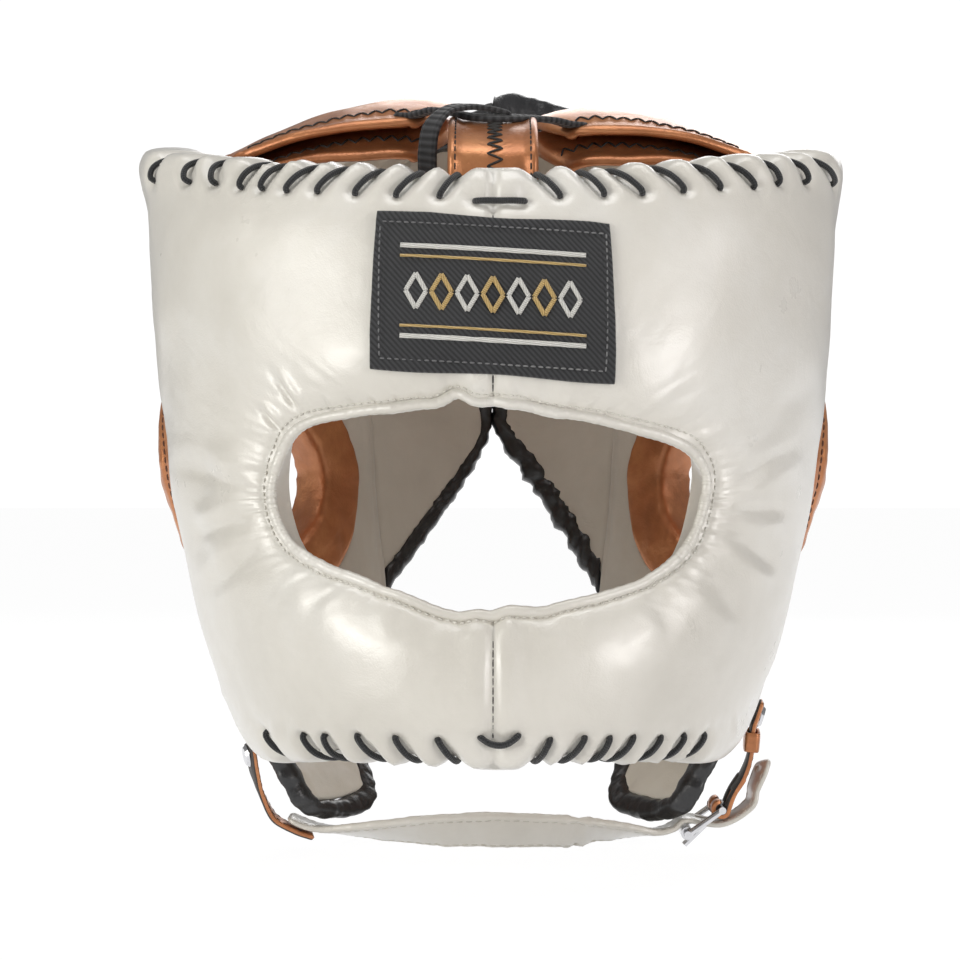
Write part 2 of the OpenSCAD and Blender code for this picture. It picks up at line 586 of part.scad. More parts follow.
// Strap assembly, swinging on two rivets: the buckle on the left, the plain end on the right
strap_clear = 0.62;
side_x = half_w_at(buckle_rivet_z) + side_face(1) + strap_t / 2 + strap_clear;
rivet_x = side_x + 2;
side_turn = 5;
side_lean = 17;
bar_at = [side_x - 11.6, 0, strap_z + 8.9];
buckle_slope = 35;
toward = [-cos(buckle_slope), 0, -sin(buckle_slope)];
outward = [sin(buckle_slope), 0, -cos(buckle_slope)];
function in_buckle(along, out) = bar_at + toward * along + outward * out;
loop_r = wire_r + 0.15 + strap_t;
strap_over = loop_r + 0.3 + strap_t / 2;
module chin_strap() {
    inside = -(wire_r + 1 + 0.3 + strap_t / 2);
    path = [bar_at + [19.5, 2, 20.5], bar_at + [17, 1, 14.5], bar_at + [13.8, 0.5, 8], in_buckle(-9, strap_over + 0.6),
        in_buckle(3, strap_over - 0.3), in_buckle(buckle_l - 2.4, inside), in_buckle(buckle_l + 3, inside),
        [58, 0, strap_z - 0.4], [44, -3, strap_z], [22, -7, strap_z], [0, -8, strap_z],
        [-22, -7, strap_z], [-44, -3, strap_z], [-60, 0, strap_z + 0.6], [-68, 0, strap_z + 2.5],
        [-74, 0, strap_z + 5.3]];
    turns = [-6, -6, -4, -2, 0, 0, 0, 3, 16, 30, 36, 30, 16, 3, 0, 0];
    color(cream) difference() {
        strap(path, turns, strap_w - 2, strap_t);
        translate(in_buckle(6, 2.1)) rotate([0, 90 - buckle_slope, 0])
            cube([10, 3.8, 8], center = true);
        translate(bar_at + [18.2, 1.5, 17.4]) rotate([0, 112, 0]) cylinder(h = 8, r = 1.3, center = true, $fn = 24);
    }
}
module buckle_strap() {
    path = [[side_x + 3.8, 0, -72.5], [rivet_x, 0, buckle_rivet_z], [side_x + 0.4, 0, -83],
        [side_x - 0.4, 0, -92], bar_at + [9, 0, 11.5], bar_at + [5, 0, 4.8], bar_at - toward * (loop_r - 0.4)];
    color(copper) difference() {
        union() {
            strap(path, [side_turn, side_turn, side_turn, side_turn, 3, 1, 0], strap_w, strap_t);
            translate(bar_at) rotate([90, 0, 0]) cylinder(h = strap_w - 2, r = loop_r, center = true, $fn = 32);
        }
        translate(bar_at) rotate([90, 0, 0])
            cylinder(h = strap_w + 2, r = wire_r + 0.15, center = true, $fn = 32);
        translate(bar_at) cube([2 * loop_r + 6, 4, 2 * loop_r + 6], center = true);
        translate([rivet_x, 0, buckle_rivet_z]) rotate([0, 90 + side_lean, -side_turn])
            cylinder(h = 12, r = rivet_hole_r, center = true, $fn = 32);
    }
}
anchor_inset = 7.7;
anchor_x = low_half_w - anchor_inset;
anchor_path = [[-anchor_x - 0.7, -5, plain_rivet_z + 4.4], [-anchor_x, -5, plain_rivet_z],
    [-anchor_x + 1.4, -4.5, plain_rivet_z - 7], [-anchor_x + 3.8, -4, plain_rivet_z - 14.5],
    [-79, -3, strap_z + 5.1], [-71.5, -2, strap_z + 0.7], [-65, -1, strap_z - 1.7]];
anchor_turn = -18;
anchor_lean = 12;
anchor_w = 12;
module anchor_strap() {
    color(copper) difference() {
        strap(anchor_path, [for (share = [1, 1, 0.8, 0.4, 0.1, 0, 0]) anchor_turn * share], anchor_w, strap_t);
        translate(anchor_path[1]) rotate([0, 90 - anchor_lean, -anchor_turn])
            cylinder(h = 12, r = rivet_hole_r, center = true, $fn = 32);
    }
}
buckle_half_w = strap_w / 2 + 2;
module wire_bar(from, to, r) {
    d = to - from;
    translate(from) rotate([0, acos(d[2] / norm(d)), atan2(d[1], d[0])])
        cylinder(h = norm(d), r = r, $fn = 32);
}
module buckle_frame() {
    corners = [for (c = [[0, -1], [buckle_l, -1], [buckle_l, 1], [0, 1]])
        in_buckle(c[0], 0) + [0, c[1] * buckle_half_w, 0]];
    past = [0, wire_r, 0];
    color(chrome) {
        wire_bar(corners[0] - past, corners[3] + past, wire_r);
        wire_bar(corners[1] - past, corners[2] + past, wire_r);
        wire_bar(corners[0], corners[1], wire_r * 0.9);
        wire_bar(corners[3], corners[2], wire_r * 0.9);
    }
}
roller_r = 2.3;
module buckle_roller() {
    color(chrome) translate(in_buckle(buckle_l, 0)) rotate([90, 0, 0]) difference() {
        cylinder(h = strap_w - 1, r = roller_r, center = true, $fn = 40);
        cylinder(h = strap_w + 2, r = wire_r + run_gap, center = true, $fn = 40);
    }
}
tongue_r = 1.1;
module buckle_tongue() {
    rise = atan((roller_r + tongue_r + 0.1 - 1.2) / buckle_l);
    color(chrome) translate(bar_at) rotate([0, 180 - buckle_slope, 0]) difference() {
        union() {
            rotate([90, 0, 0]) cylinder(h = 3, r = wire_r + 1.2, center = true, $fn = 32);
            translate([0, 0, 1.2]) rotate([0, 90 - rise, 0]) cylinder(h = buckle_l + 3.6, r = tongue_r, $fn = 24);
        }
        rotate([90, 0, 0]) cylinder(h = 6, r = wire_r + run_gap, center = true, $fn = 32);
    }
}
module strap_keeper() {
    wall = 1.3;
    slack = 0.5;
    color(copper) translate([side_x + 0.1, 0, -86.9]) rotate([0, 5, -side_turn]) difference() {
        cube([strap_t + 2 * (slack + wall), strap_w + 2 * (slack + wall), 7], center = true);
        cube([strap_t + 2 * slack, strap_w + 2 * slack, 8], center = true);
    }
}
rivet_shank_r = 1.6;
rivet_hole_r = rivet_shank_r + 0.05;
module strap_rivet(at, turn, lean) {
    head_h = 1.4;
    under = strap_t / 2;
    color(chrome) translate(at) rotate([0, 90 + lean, turn]) rotate_extrude($fn = 48)
        polygon([[0, -under], [rivet_shank_r, -under], [rivet_shank_r, strap_t / 2 + 0.3],
            [rivet_r, strap_t / 2 + 0.3], [rivet_r * 0.8, strap_t / 2 + head_h], [0, strap_t / 2 + head_h + 0.3]]);
}

module mirrored() {
    mirror([1, 0, 0]) children();
}

shell_cover(1);  // shell_cover_left
shell_cover(-1);  // shell_cover_right
forehead_foam();
cheek_foam(1);  // cheek_foam_left
cheek_foam(-1);  // cheek_foam_right
bar_foam_outer();
bar_foam_inner();
face_bar();
front_lining();
eye_rim();
label_patch();
top_lacing();
bottom_lacing();
side_cover();  // side_cover_left
mirrored() side_cover();  // side_cover_right
side_foam();  // side_foam_left
mirrored() side_foam();  // side_foam_right
side_lining();  // side_lining_left
mirrored() side_lining();  // side_lining_right
side_binding();  // side_binding_left
mirrored() side_binding();  // side_binding_right
ear_cover();  // ear_cover_left
mirrored() ear_cover();  // ear_cover_right
chin_flap();  // chin_flap_left
mirrored() chin_flap();  // chin_flap_right
flap_binding();  // flap_binding_left
mirrored() flap_binding();  // flap_binding_right
crown_petal();  // crown_petal_left
mirrored() crown_petal();  // crown_petal_right
crown_tab();
crown_lace();
rear_cover();  // rear_cover_left
mirrored() rear_cover();  // rear_cover_right
rear_foam();  // rear_foam_left
mirrored() rear_foam();  // rear_foam_right
rear_lining();  // rear_lining_left
mirrored() rear_lining();  // rear_lining_right
rear_binding();  // rear_binding_left
mirrored() rear_binding();  // rear_binding_right
rear_yoke();  // rear_yoke_left
mirrored() rear_yoke();  // rear_yoke_right
yoke_binding();  // yoke_binding_left
mirrored() yoke_binding();  // yoke_binding_right
loop_patch();
closure_strap();
chin_strap();
buckle_strap();
anchor_strap();
buckle_frame();
buckle_roller();
buckle_tongue();
strap_keeper();
strap_rivet([rivet_x, 0, buckle_rivet_z], -side_turn, side_lean);  // strap_rivet_left
strap_rivet(anchor_path[1], 180 - anchor_turn, anchor_lean);  // strap_rivet_right
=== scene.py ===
import math

import bmesh
import bpy
import numpy as np
from mathutils import Euler, Matrix, Vector, noise
from mathutils.kdtree import KDTree


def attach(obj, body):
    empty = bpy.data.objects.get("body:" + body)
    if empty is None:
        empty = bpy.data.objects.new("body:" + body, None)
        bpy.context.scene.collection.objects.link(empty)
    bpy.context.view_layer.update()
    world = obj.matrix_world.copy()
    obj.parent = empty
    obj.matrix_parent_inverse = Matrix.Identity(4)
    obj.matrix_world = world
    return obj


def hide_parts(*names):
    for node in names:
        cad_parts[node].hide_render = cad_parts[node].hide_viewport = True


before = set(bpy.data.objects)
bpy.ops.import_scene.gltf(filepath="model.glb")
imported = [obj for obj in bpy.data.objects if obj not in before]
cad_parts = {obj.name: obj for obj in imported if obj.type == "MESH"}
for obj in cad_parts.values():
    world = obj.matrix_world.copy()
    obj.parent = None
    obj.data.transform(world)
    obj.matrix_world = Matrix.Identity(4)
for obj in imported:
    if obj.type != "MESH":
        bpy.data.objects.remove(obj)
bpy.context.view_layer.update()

MM = 0.001
DETAIL = 1.0

# -------- the guard's measures, in mm and degrees
EYE_W, BROW_W, JAW_W = 114.5, 122.5, 101.0
EYE_REACH, BROW_REACH, BAR_REACH, REAR_REACH = 127.0, 119.0, 130.0, 112.0
STEP = 60.0
FRONT_BOW, SIDE_BOW, REAR_BOW = 0.92, 1.5, 0.85
TOP_FRONT, TOP_SIDE, TOP_CREASE, HEM, CROWN, CROWN_H = 104.0, 124.0, 100.0, -84.0, 150.0, 220.0
PAD, SIDE_T, REAR_T = 26.0, 14.0, 10.0
DRAW = 7.0
FINE = 24
FRACTAL = 0.6, 2.1
OPEN_UP, OPEN_DOWN = 29.0, 38.0
EAR_A, EAR_Z, EAR_DA, EAR_H = 117.0, 9.0, 15.0, 31.0
SHELL_A, HINGE_A = 89.0, 144.8
LACE_R = 1.05
UP, ACROSS, MIRROR = np.array([0, 0, 1.0]), np.array([1.0, 0, 0]), np.array([-1.0, 1, 1])


def mix(a, b, t):
    return a + (b - a) * t


def unit(v):
    v = np.asarray(v, float)
    return v / np.maximum(np.linalg.norm(v, axis=-1, keepdims=True), 1e-9)


def smooth(t):
    t = np.clip(t, 0, 1)
    return t * t * (3 - 2 * t)


def bell(x, width):
    return np.exp(-(x / width) ** 2)


def rounded(d, r, least=0.0):
    """Height, as a share, of a rounded edge of radius r at distance d in from it."""
    return np.sqrt(np.clip(1 - (1 - np.clip(d / r, 0, 1)) ** 2, least, 1))


def stack(*parts):
    return np.stack(np.broadcast_arrays(*parts), -1)


def run(line):
    """Distance along a line of points, from its start."""
    return np.r_[0, np.cumsum(np.linalg.norm(np.diff(line, axis=0), axis=1))]


def rows_at(x, xs, table):
    """Rows between a table's own rows, which stand at xs."""
    return np.stack([np.interp(x, xs, table[:, i]) for i in range(table.shape[1])], -1)


def softened(line, times):
    for _ in range(times):
        line[1:-1] = (line[:-2] + 2 * line[1:-1] + line[2:]) / 4
    return line


def closed(line):
    return np.concatenate([line, line[:1]])


def outward(n, p, mid):
    """Normals n of points p, turned to lead away from mid."""
    return -n if ((p - mid) * n).sum() < 0 else n


def parabola(z, low, mid, high):
    """Smooth value through low at -STEP, mid at 0 and high at STEP."""
    return mid + (high - low) / (2 * STEP) * z + ((high + low) / 2 - mid) / STEP**2 * z * z


def half_w(z):
    return parabola(z, JAW_W, EYE_W, BROW_W)


def place(th, z, out):
    """Point of the guard's form at angle th from the front and height z, out mm off its face."""
    th, z, out = np.broadcast_arrays(*[np.asarray(a, float) for a in (th, z, out)])
    s, c = np.sin(np.radians(th)), np.cos(np.radians(th))
    reach = parabola(z, BAR_REACH, EYE_REACH, BROW_REACH)
    x = (half_w(z) + out) * np.sign(s) * np.abs(s) ** np.where(c >= 0, FRONT_BOW, SIDE_BOW)
    y = np.where(c >= 0, -(reach + out) * np.abs(c) ** FRONT_BOW, (REAR_REACH + out) * np.abs(c) ** REAR_BOW)
    return np.stack([x, y, z], -1)


def drape(th, h, out):
    """As place, but past the top edge h runs on over the crown, whose middle is at CROWN_H."""
    th, h, out = np.broadcast_arrays(*[np.asarray(a, float) for a in (th, h, out)])
    t = (180 - np.abs(180 - np.abs(th)) - SHELL_A) / (HINGE_A - SHELL_A)
    z0 = mix(TOP_SIDE, TOP_CREASE, np.clip(t, 0, 1))
    a = np.radians(np.clip(90 * (h - z0) / (CROWN_H - z0), 0, 90))
    p = place(th, z0, out)
    high = np.stack([p[..., 0] * np.cos(a), p[..., 1] * np.cos(a), z0 + (CROWN - z0 + out) * np.sin(a)], -1)
    return np.where((h <= z0)[..., None], place(th, h, out), high)


def catmull(points, t):
    """Smooth curve through the points at parameters t, 0 to len - 1, mirrored past its ends."""
    p = np.asarray(points, float)
    last = len(p) - 1
    i = np.clip(np.floor(t).astype(int), 0, last - 1)
    f = (t - i)[:, None]
    def at(j):
        q = np.where((j < 0)[:, None], 2 * p[0] - p[np.clip(-j, 0, last)], p[np.clip(j, 0, last)])
        return np.where((j > last)[:, None], 2 * p[-1] - p[np.clip(2 * last - j, 0, last)], q)
    a, b, c, d = (at(i + k) for k in (-1, 0, 1, 2))
    return 0.5 * (2 * b + (c - a) * f + (2 * a - 5 * b + 4 * c - d) * f**2 + (3 * b - a - 3 * c + d) * f**3)


def resample(path, step):
    """Smooth path through the points, with a point about every step mm, and its distances."""
    fine = catmull(path, np.linspace(0, len(path) - 1, FINE * len(path)))
    d = run(fine)
    s = np.linspace(0, d[-1], max(3, int(round(d[-1] / step)) + 1))
    return rows_at(s, d, fine), s


def noises(p, scale, seed, octaves=3):
    """Fractal noise at points in mm; scale is the size of its largest lumps, and seed picks its pattern."""
    values = [noise.fractal(Vector(q), *FRACTAL, octaves) for q in p.reshape(-1, 3) / scale + seed]
    return np.array(values).reshape(p.shape[:-1])


# -------- meshes
def grid_faces(nu, nv, wrap_u):
    u, v = np.meshgrid(np.arange(nu if wrap_u else nu - 1), np.arange(nv), indexing="ij")
    un, vn = (u + 1) % nu, (v + 1) % nv
    return np.stack([u * nv + v, un * nv + v, un * nv + vn, u * nv + vn], -1).reshape(-1, 4)


def caps(nu, nv, first=0):
    last = first + (nu - 1) * nv
    return [tuple(range(first, first + nv))[::-1], tuple(range(last, last + nv))]


def normals_of(p, wrap_u=False, wrap_v=True):
    du = np.roll(p, -1, 0) - np.roll(p, 1, 0)
    dv = np.roll(p, -1, 1) - np.roll(p, 1, 1)
    if not wrap_u:
        du[0], du[-1] = p[1] - p[0], p[-1] - p[-2]
    if not wrap_v:
        dv[:, 0], dv[:, -1] = p[:, 1] - p[:, 0], p[:, -1] - p[:, -2]
    return unit(np.cross(du, dv))


def add_object(name, data):
    obj = bpy.data.objects.new(name, data)
    bpy.context.scene.collection.objects.link(obj)
    return obj


def finish_mesh(name, verts, faces, mats, indices=None, uv=None, weld=False):
    mesh = bpy.data.meshes.new(name)
    mesh.from_pydata([tuple(v) for v in verts * MM], [], [tuple(int(i) for i in f) for f in faces])
    mesh.update()
    if uv is not None:
        layer = mesh.uv_layers.new(name="UVMap")
        loops = np.zeros(len(mesh.loops), int)
        mesh.loops.foreach_get("vertex_index", loops)
        layer.data.foreach_set("uv", uv.reshape(-1, 2)[loops].astype(np.float32).ravel())
    bm = bmesh.new()
    bm.from_mesh(mesh)
    for f, i in zip(bm.faces, indices or [0] * len(bm.faces)):
        f.smooth = True
        f.material_index = i
    if weld:
        bmesh.ops.remove_doubles(bm, verts=bm.verts, dist=1e-6)
    bmesh.ops.recalc_face_normals(bm, faces=bm.faces)
    bm.to_mesh(mesh)
    bm.free()
    for m in mats:
        mesh.materials.append(m)
    mesh.update()
    return add_object(name, mesh)


def grid(name, p, mats, wrap_u=False, pick=None, uv=None, weld=False):
    """Mesh of rows of closed sections. Open rows are capped, or welded where their ends are flat.
    pick gives the material of each point's face."""
    nu, nv = p.shape[:2]
    quads = grid_faces(nu, nv, wrap_u)
    faces, indices = [tuple(f) for f in quads], None
    if pick is not None:
        indices = np.broadcast_to(pick, (nu, nv)).reshape(-1)[quads[:, 0]].astype(int).tolist()
    if not wrap_u and not weld:
        faces += caps(nu, nv)
        if indices:
            indices += [0, 0]
    return finish_mesh(name, p.reshape(-1, 3), faces, mats, indices, uv, weld)


def dress(obj, body, slot, *nodes, fill=None):
    """Hides the CAD nodes that a piece replaces and attaches it to its body; slot and fill are not used."""
    if nodes:
        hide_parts(*nodes)
    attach(obj, body)


def spread(n, pull=0.75):
    """Shares from 0 to 1, closer together near both ends."""
    t = np.linspace(0, 1, max(n, 4))
    return t - pull * np.sin(2 * np.pi * t) / (2 * np.pi)


def inset(u, v, size):
    """Distance from the nearest edge of a sheet with the given sides."""
    return np.minimum(np.minimum(u, 1 - u) * size[0], np.minimum(v, 1 - v) * size[1])


def pillow(name, surf, size, top, low, edge, mats, step=2.0, relief=None):
    """Closed padded sheet: surf(u, v, out) with its sides' lengths, its two depths and its edge's roundness."""
    u, v = (spread(int(side / (step / DETAIL)) + 8) for side in size)
    uu, vv = np.meshgrid(u, v, indexing="ij")
    h = rounded(inset(uu, vv, size), edge)
    mid = (top + low) / 2
    faces = []
    for depth, side in ((top, 1), (low, -1)):
        q = surf(uu, vv, mid + (depth - mid) * h)
        n = outward(normals_of(q, False, False), q, surf(uu, vv, mid + 0 * uu))
        add = 0.5 * noises(q, 24, 2.3 + side)
        if relief is not None:
            add = add + relief(uu, vv, q, side)
        faces.append(q + n * (add * h)[..., None])
    p = np.concatenate([faces[0], faces[1][:, -2:0:-1]], 1)
    pick = np.r_[np.zeros(len(v)), np.full(len(v) - 2, min(1, len(mats) - 1))]
    across = np.r_[v, v[-2:0:-1]] * size[1]
    return grid(name, p, mats, pick=pick[None, :], uv=stack((u * size[0])[:, None], across[None, :]), weld=True)


def superellipse(n, m, count):
    """Closed section: x across from -1 to 1, y through it."""
    phi = np.linspace(0, 2 * math.pi, count, endpoint=False)
    c, s = np.cos(phi), np.sin(phi)
    return np.sign(c) * np.abs(c) ** (2 / n), np.sign(s) * np.abs(s) ** (2 / m)


def ribbon_points(path, turns, width, thick, step, soft, section, profile):
    """Strap along a path, turned about it: closed sections, uv in mm, middle line and section."""
    pts, s = resample(path, step / DETAIL)
    n = len(path)
    fine = np.linspace(0, n - 1, FINE * n)
    where = np.interp(s, run(catmull(path, fine)), fine)
    turn, w, t = (np.interp(where, np.arange(n), np.broadcast_to(q, (n,))) for q in (turns, width, thick))
    turn, w, t = np.radians(turn)[:, None], w[:, None, None], t[:, None, None]
    along = unit(np.gradient(pts, axis=0))
    y = unit(np.array([0, 1.0, 0]) - along * along[:, 1:2])
    a = y * np.cos(turn) + np.cross(along, y) * np.sin(turn)
    up = np.cross(along, a)
    cx, cy = superellipse(*profile, section)
    fade = rounded(np.minimum(s, s[-1] - s), soft, 0.03)[:, None, None]
    p = pts[:, None] + a[:, None] * (cx[None, :, None] * w / 2 * (0.6 + 0.4 * fade)) \
        + up[:, None] * (cy[None, :, None] * t / 2 * fade)
    return p, stack(s[:, None], (cx * 10)[None, :]), pts, cx, cy


def edging(name, outer, inner, surf, over, under, step=1.6, pucker=0.7):
    """Black binding between two lines of (u, v) places, rolled over an edge and drawn in at its seam."""
    fine = np.linspace(0, len(outer) - 1, 30 * len(outer))
    lines = [softened(rows_at(fine, np.arange(len(q)), np.asarray(q, float)), 60) for q in (outer, inner)]
    centre = mix(*lines, 0.5)
    mid = (over + under) / 2
    d = run(surf(centre[:, 0], centre[:, 1], mid))
    s = np.linspace(0, d[-1], int(d[-1] / step * DETAIL) + 3)
    a, b = (rows_at(s, d, line)[:, None] for line in lines)
    cx, cy = superellipse(2.8, 2.5, 30)
    w = 0.5 - 0.5 * cx
    spot = mix(a, b, w[None, :, None])
    out = mid + (over - under) / 2 * cy
    p = surf(spot[..., 0], spot[..., 1], np.broadcast_to(out[None, :], spot.shape[:2]))
    ridges = pucker * noises(stack(s[:, None], w[None, :] * 5, 3.0), 4.2, d[-1] % 7, 2)
    p = p + normals_of(p) * (ridges * (1 - 0.35 * np.abs(cy))[None, :] + 0.2)[..., None]
    return grid(name, p, [black], uv=stack(s[:, None], (w * 10)[None, :]))


def tube_points(path, r, sides, up, wrap=False):
    """Round sections of radius r along a path."""
    t = unit(np.roll(path, -1, 0) - np.roll(path, 1, 0) if wrap else np.gradient(path, axis=0))
    a = unit(np.cross(t, np.broadcast_to(up, t.shape)))
    b = np.cross(a, t)
    phi = np.linspace(0, 2 * math.pi, sides, endpoint=False)[None, :, None]
    rr = np.broadcast_to(np.asarray(r, float), (len(path),))[:, None, None]
    return path[:, None] + rr * (a[:, None] * np.cos(phi) + b[:, None] * np.sin(phi))


class Batch:
    """Several rows of closed sections kept in one mesh."""
    def __init__(self):
        self.verts, self.faces, self.uv, self.count = [], [], [], 0

    def add(self, p, uv=None):
        nu, nv = p.shape[:2]
        self.faces += [tuple(f + self.count) for f in grid_faces(nu, nv, False)] + caps(nu, nv, self.count)
        self.verts.append(p.reshape(-1, 3))
        self.uv.append(np.zeros((nu * nv, 2)) if uv is None else uv.reshape(-1, 2))
        self.count += nu * nv

    def build(self, name, mat):
        return finish_mesh(name, np.concatenate(self.verts), self.faces, [mat], uv=np.concatenate(self.uv))


def add_dash(batch, a, b, r, up):
    """One visible stitch from a to b, sunk at both ends."""
    s = np.array([0, 0.12, 0.5, 0.88, 1.0])
    lift = np.array([-0.6, 0.2, 0.45, 0.2, -0.6])[:, None] * r * up
    batch.add(tube_points(a + (b - a) * s[:, None] + lift, r * np.array([0.5, 0.9, 1, 0.9, 0.5]), 6, up + 1e-4))


def stitching(name, mat, lines, length, gap, r, batch=None):
    """Rows of stitches along lines, each a dense path with its outward direction; batch holds earlier ones."""
    batch = batch or Batch()
    for path, lift in lines:
        d = run(path)
        for i in range(int(d[-1] // (length + gap))):
            s = np.array([i * (length + gap), i * (length + gap) + length]) + gap / 2
            ends = rows_at(s, d, path)
            add_dash(batch, ends[0], ends[1], r, unit(rows_at(s.mean(), d, lift)))
    return batch.build(name, mat)


def zigzag(batch, line, up, side, width=2.1, pitch=5.0, r=0.36):
    """Zigzag thread along a line, width to each side of it."""
    d = run(line)
    if d[-1] < 3 * pitch:
        return
    s = np.arange(0.5, d[-1] - 0.5, pitch / 2)
    pts, u, w = rows_at(s, d, line), unit(rows_at(s, d, up)), unit(rows_at(s, d, side))
    pts = pts + w * np.where(np.arange(len(s)) % 2, width, -width)[:, None]
    for a, b, lift in zip(pts, pts[1:], u):
        add_dash(batch, a, b, r, lift)


# -------- materials
def node_material(name):
    m = bpy.data.materials.new(name)
    m.use_nodes = True
    return m, m.node_tree, m.node_tree.nodes["Principled BSDF"]


def tex_noise(tree, coords, scale, detail=4.0, rough=0.55, distortion=0.0):
    n = tree.nodes.new("ShaderNodeTexNoise")
    for key, value in (("Scale", scale), ("Detail", detail), ("Roughness", rough), ("Distortion", distortion)):
        n.inputs[key].default_value = value
    tree.links.new(coords, n.inputs["Vector"])
    return n.outputs["Fac"]


def ramp(tree, value, stops, target=None):
    """Colour ramp, led to a target socket; a stop's colour may be one grey level."""
    r = tree.nodes.new("ShaderNodeValToRGB")
    while len(r.color_ramp.elements) < len(stops):
        r.color_ramp.elements.new(0.5)
    for e, (pos, colour) in zip(r.color_ramp.elements, stops):
        e.position = pos
        e.color = (*colour, 1) if isinstance(colour, tuple) else (colour, colour, colour, 1)
    tree.links.new(value, r.inputs["Fac"])
    if target:
        tree.links.new(r.outputs["Color"], target)
    return r.outputs["Color"]


def maths(tree, op, *values):
    n = tree.nodes.new("ShaderNodeMath")
    n.operation = op
    for i, v in enumerate(values):
        if isinstance(v, (int, float)):
            n.inputs[i].default_value = v
        else:
            tree.links.new(v, n.inputs[i])
    return n.outputs[0]


def bump(tree, shader, *heights):
    """Stacks bump nodes; each is (height socket, strength, distance in mm)."""
    normal = None
    for height, strength, distance in heights:
        b = tree.nodes.new("ShaderNodeBump")
        b.inputs["Strength"].default_value = strength
        b.inputs["Distance"].default_value = distance * MM
        tree.links.new(height, b.inputs["Height"])
        if normal is not None:
            tree.links.new(normal, b.inputs["Normal"])
        normal = b.outputs["Normal"]
    tree.links.new(normal, shader.inputs["Normal"])


def settings(shader, **values):
    for key, value in values.items():
        shader.inputs[key.replace("_", " ")].default_value = value


def coordinates(tree, kind="Object"):
    return tree.nodes.new("ShaderNodeTexCoord").outputs[kind]


def leather(name, dark, mid, light, rough, grain=650, coat=0.0, metallic=0.0, wrinkle=0.35, tint=22, sheen=0.0,
            coat_rough=0.25, shine=0.5):
    m, t, s = node_material(name)
    co = coordinates(t)
    cloud = tex_noise(t, co, tint, 5, 0.6, 0.3)
    ramp(t, cloud, [(0.28, dark), (0.5, mid), (0.72, light)], s.inputs["Base Color"])
    patches = tex_noise(t, co, tint * 3.1, 4, 0.6)
    ramp(t, patches, [(0.3, rough * 0.82), (0.7, rough * 1.18)], s.inputs["Roughness"])
    cells = t.nodes.new("ShaderNodeTexVoronoi")
    cells.feature = "DISTANCE_TO_EDGE"
    cells.inputs["Scale"].default_value = grain
    t.links.new(co, cells.inputs["Vector"])
    pebble = ramp(t, cells.outputs["Distance"], [(0.0, 0), (0.16, 1)])
    folds = tex_noise(t, co, 75, 6, 0.62, 1.2)
    fine = tex_noise(t, co, 260, 4, 0.6, 0.6)
    bump(t, s, (folds, wrinkle, 1.2), (fine, wrinkle * 0.8, 0.35), (pebble, 0.18, 0.12))
    settings(s, Metallic=metallic, Coat_Weight=coat, Coat_Roughness=coat_rough, Sheen_Weight=sheen,
             Specular_IOR_Level=shine)
    return m


def woven(name, dark, light, scale, strength=0.8):
    """Twill or braid drawn on the piece's UVs; scale is its pitch along and across, and whether it crosses."""
    m, t, s = node_material(name)
    parts = t.nodes.new("ShaderNodeSeparateXYZ")
    t.links.new(coordinates(t, "UV"), parts.inputs[0])
    a = maths(t, "MULTIPLY", parts.outputs["X"], scale[0])
    b = maths(t, "MULTIPLY", parts.outputs["Y"], scale[1])
    up = maths(t, "SINE", maths(t, "ADD", a, b))
    weave = maths(t, "MULTIPLY", up, maths(t, "SINE", maths(t, "SUBTRACT", a, b))) if scale[2] else up
    height = maths(t, "MULTIPLY_ADD", weave, 0.5, 0.5)
    ramp(t, height, [(0.15, dark), (0.85, light)], s.inputs["Base Color"])
    bump(t, s, (height, strength, 0.35), (tex_noise(t, coordinates(t), 1400, 3, 0.7), 0.3, 0.15))
    settings(s, Roughness=0.78, Sheen_Weight=0.25)
    return m


def lining_material():
    m, t, s = node_material("lining_fabric")
    co = coordinates(t)
    cloud = tex_noise(t, co, 18, 5, 0.6, 0.4)
    ramp(t, cloud, [(0.3, (0.64, 0.59, 0.51)), (0.7, (0.78, 0.73, 0.65))], s.inputs["Base Color"])
    bump(t, s, (tex_noise(t, co, 55, 6, 0.6, 1.0), 0.4, 1.4), (tex_noise(t, co, 900, 3, 0.7), 0.35, 0.25))
    settings(s, Roughness=0.72, Sheen_Weight=0.35)
    return m


def fuzz_material():
    m, t, s = node_material("loop_fabric")
    pile = tex_noise(t, coordinates(t), 1500, 4, 0.75)
    ramp(t, pile, [(0.3, (0.012, 0.012, 0.013)), (0.7, (0.06, 0.06, 0.065))], s.inputs["Base Color"])
    bump(t, s, (pile, 1.0, 0.5))
    settings(s, Roughness=0.9, Sheen_Weight=0.4)
    return m


def chrome_material():
    m, t, s = node_material("polished_steel")
    scratch = tex_noise(t, coordinates(t), 420, 5, 0.65)
    ramp(t, scratch, [(0.3, (0.62, 0.62, 0.64)), (0.7, (0.74, 0.74, 0.76))], s.inputs["Base Color"])
    ramp(t, scratch, [(0.35, 0.12), (0.75, 0.26)], s.inputs["Roughness"])
    settings(s, Metallic=1.0)
    bump(t, s, (scratch, 0.08, 0.1))
    return m


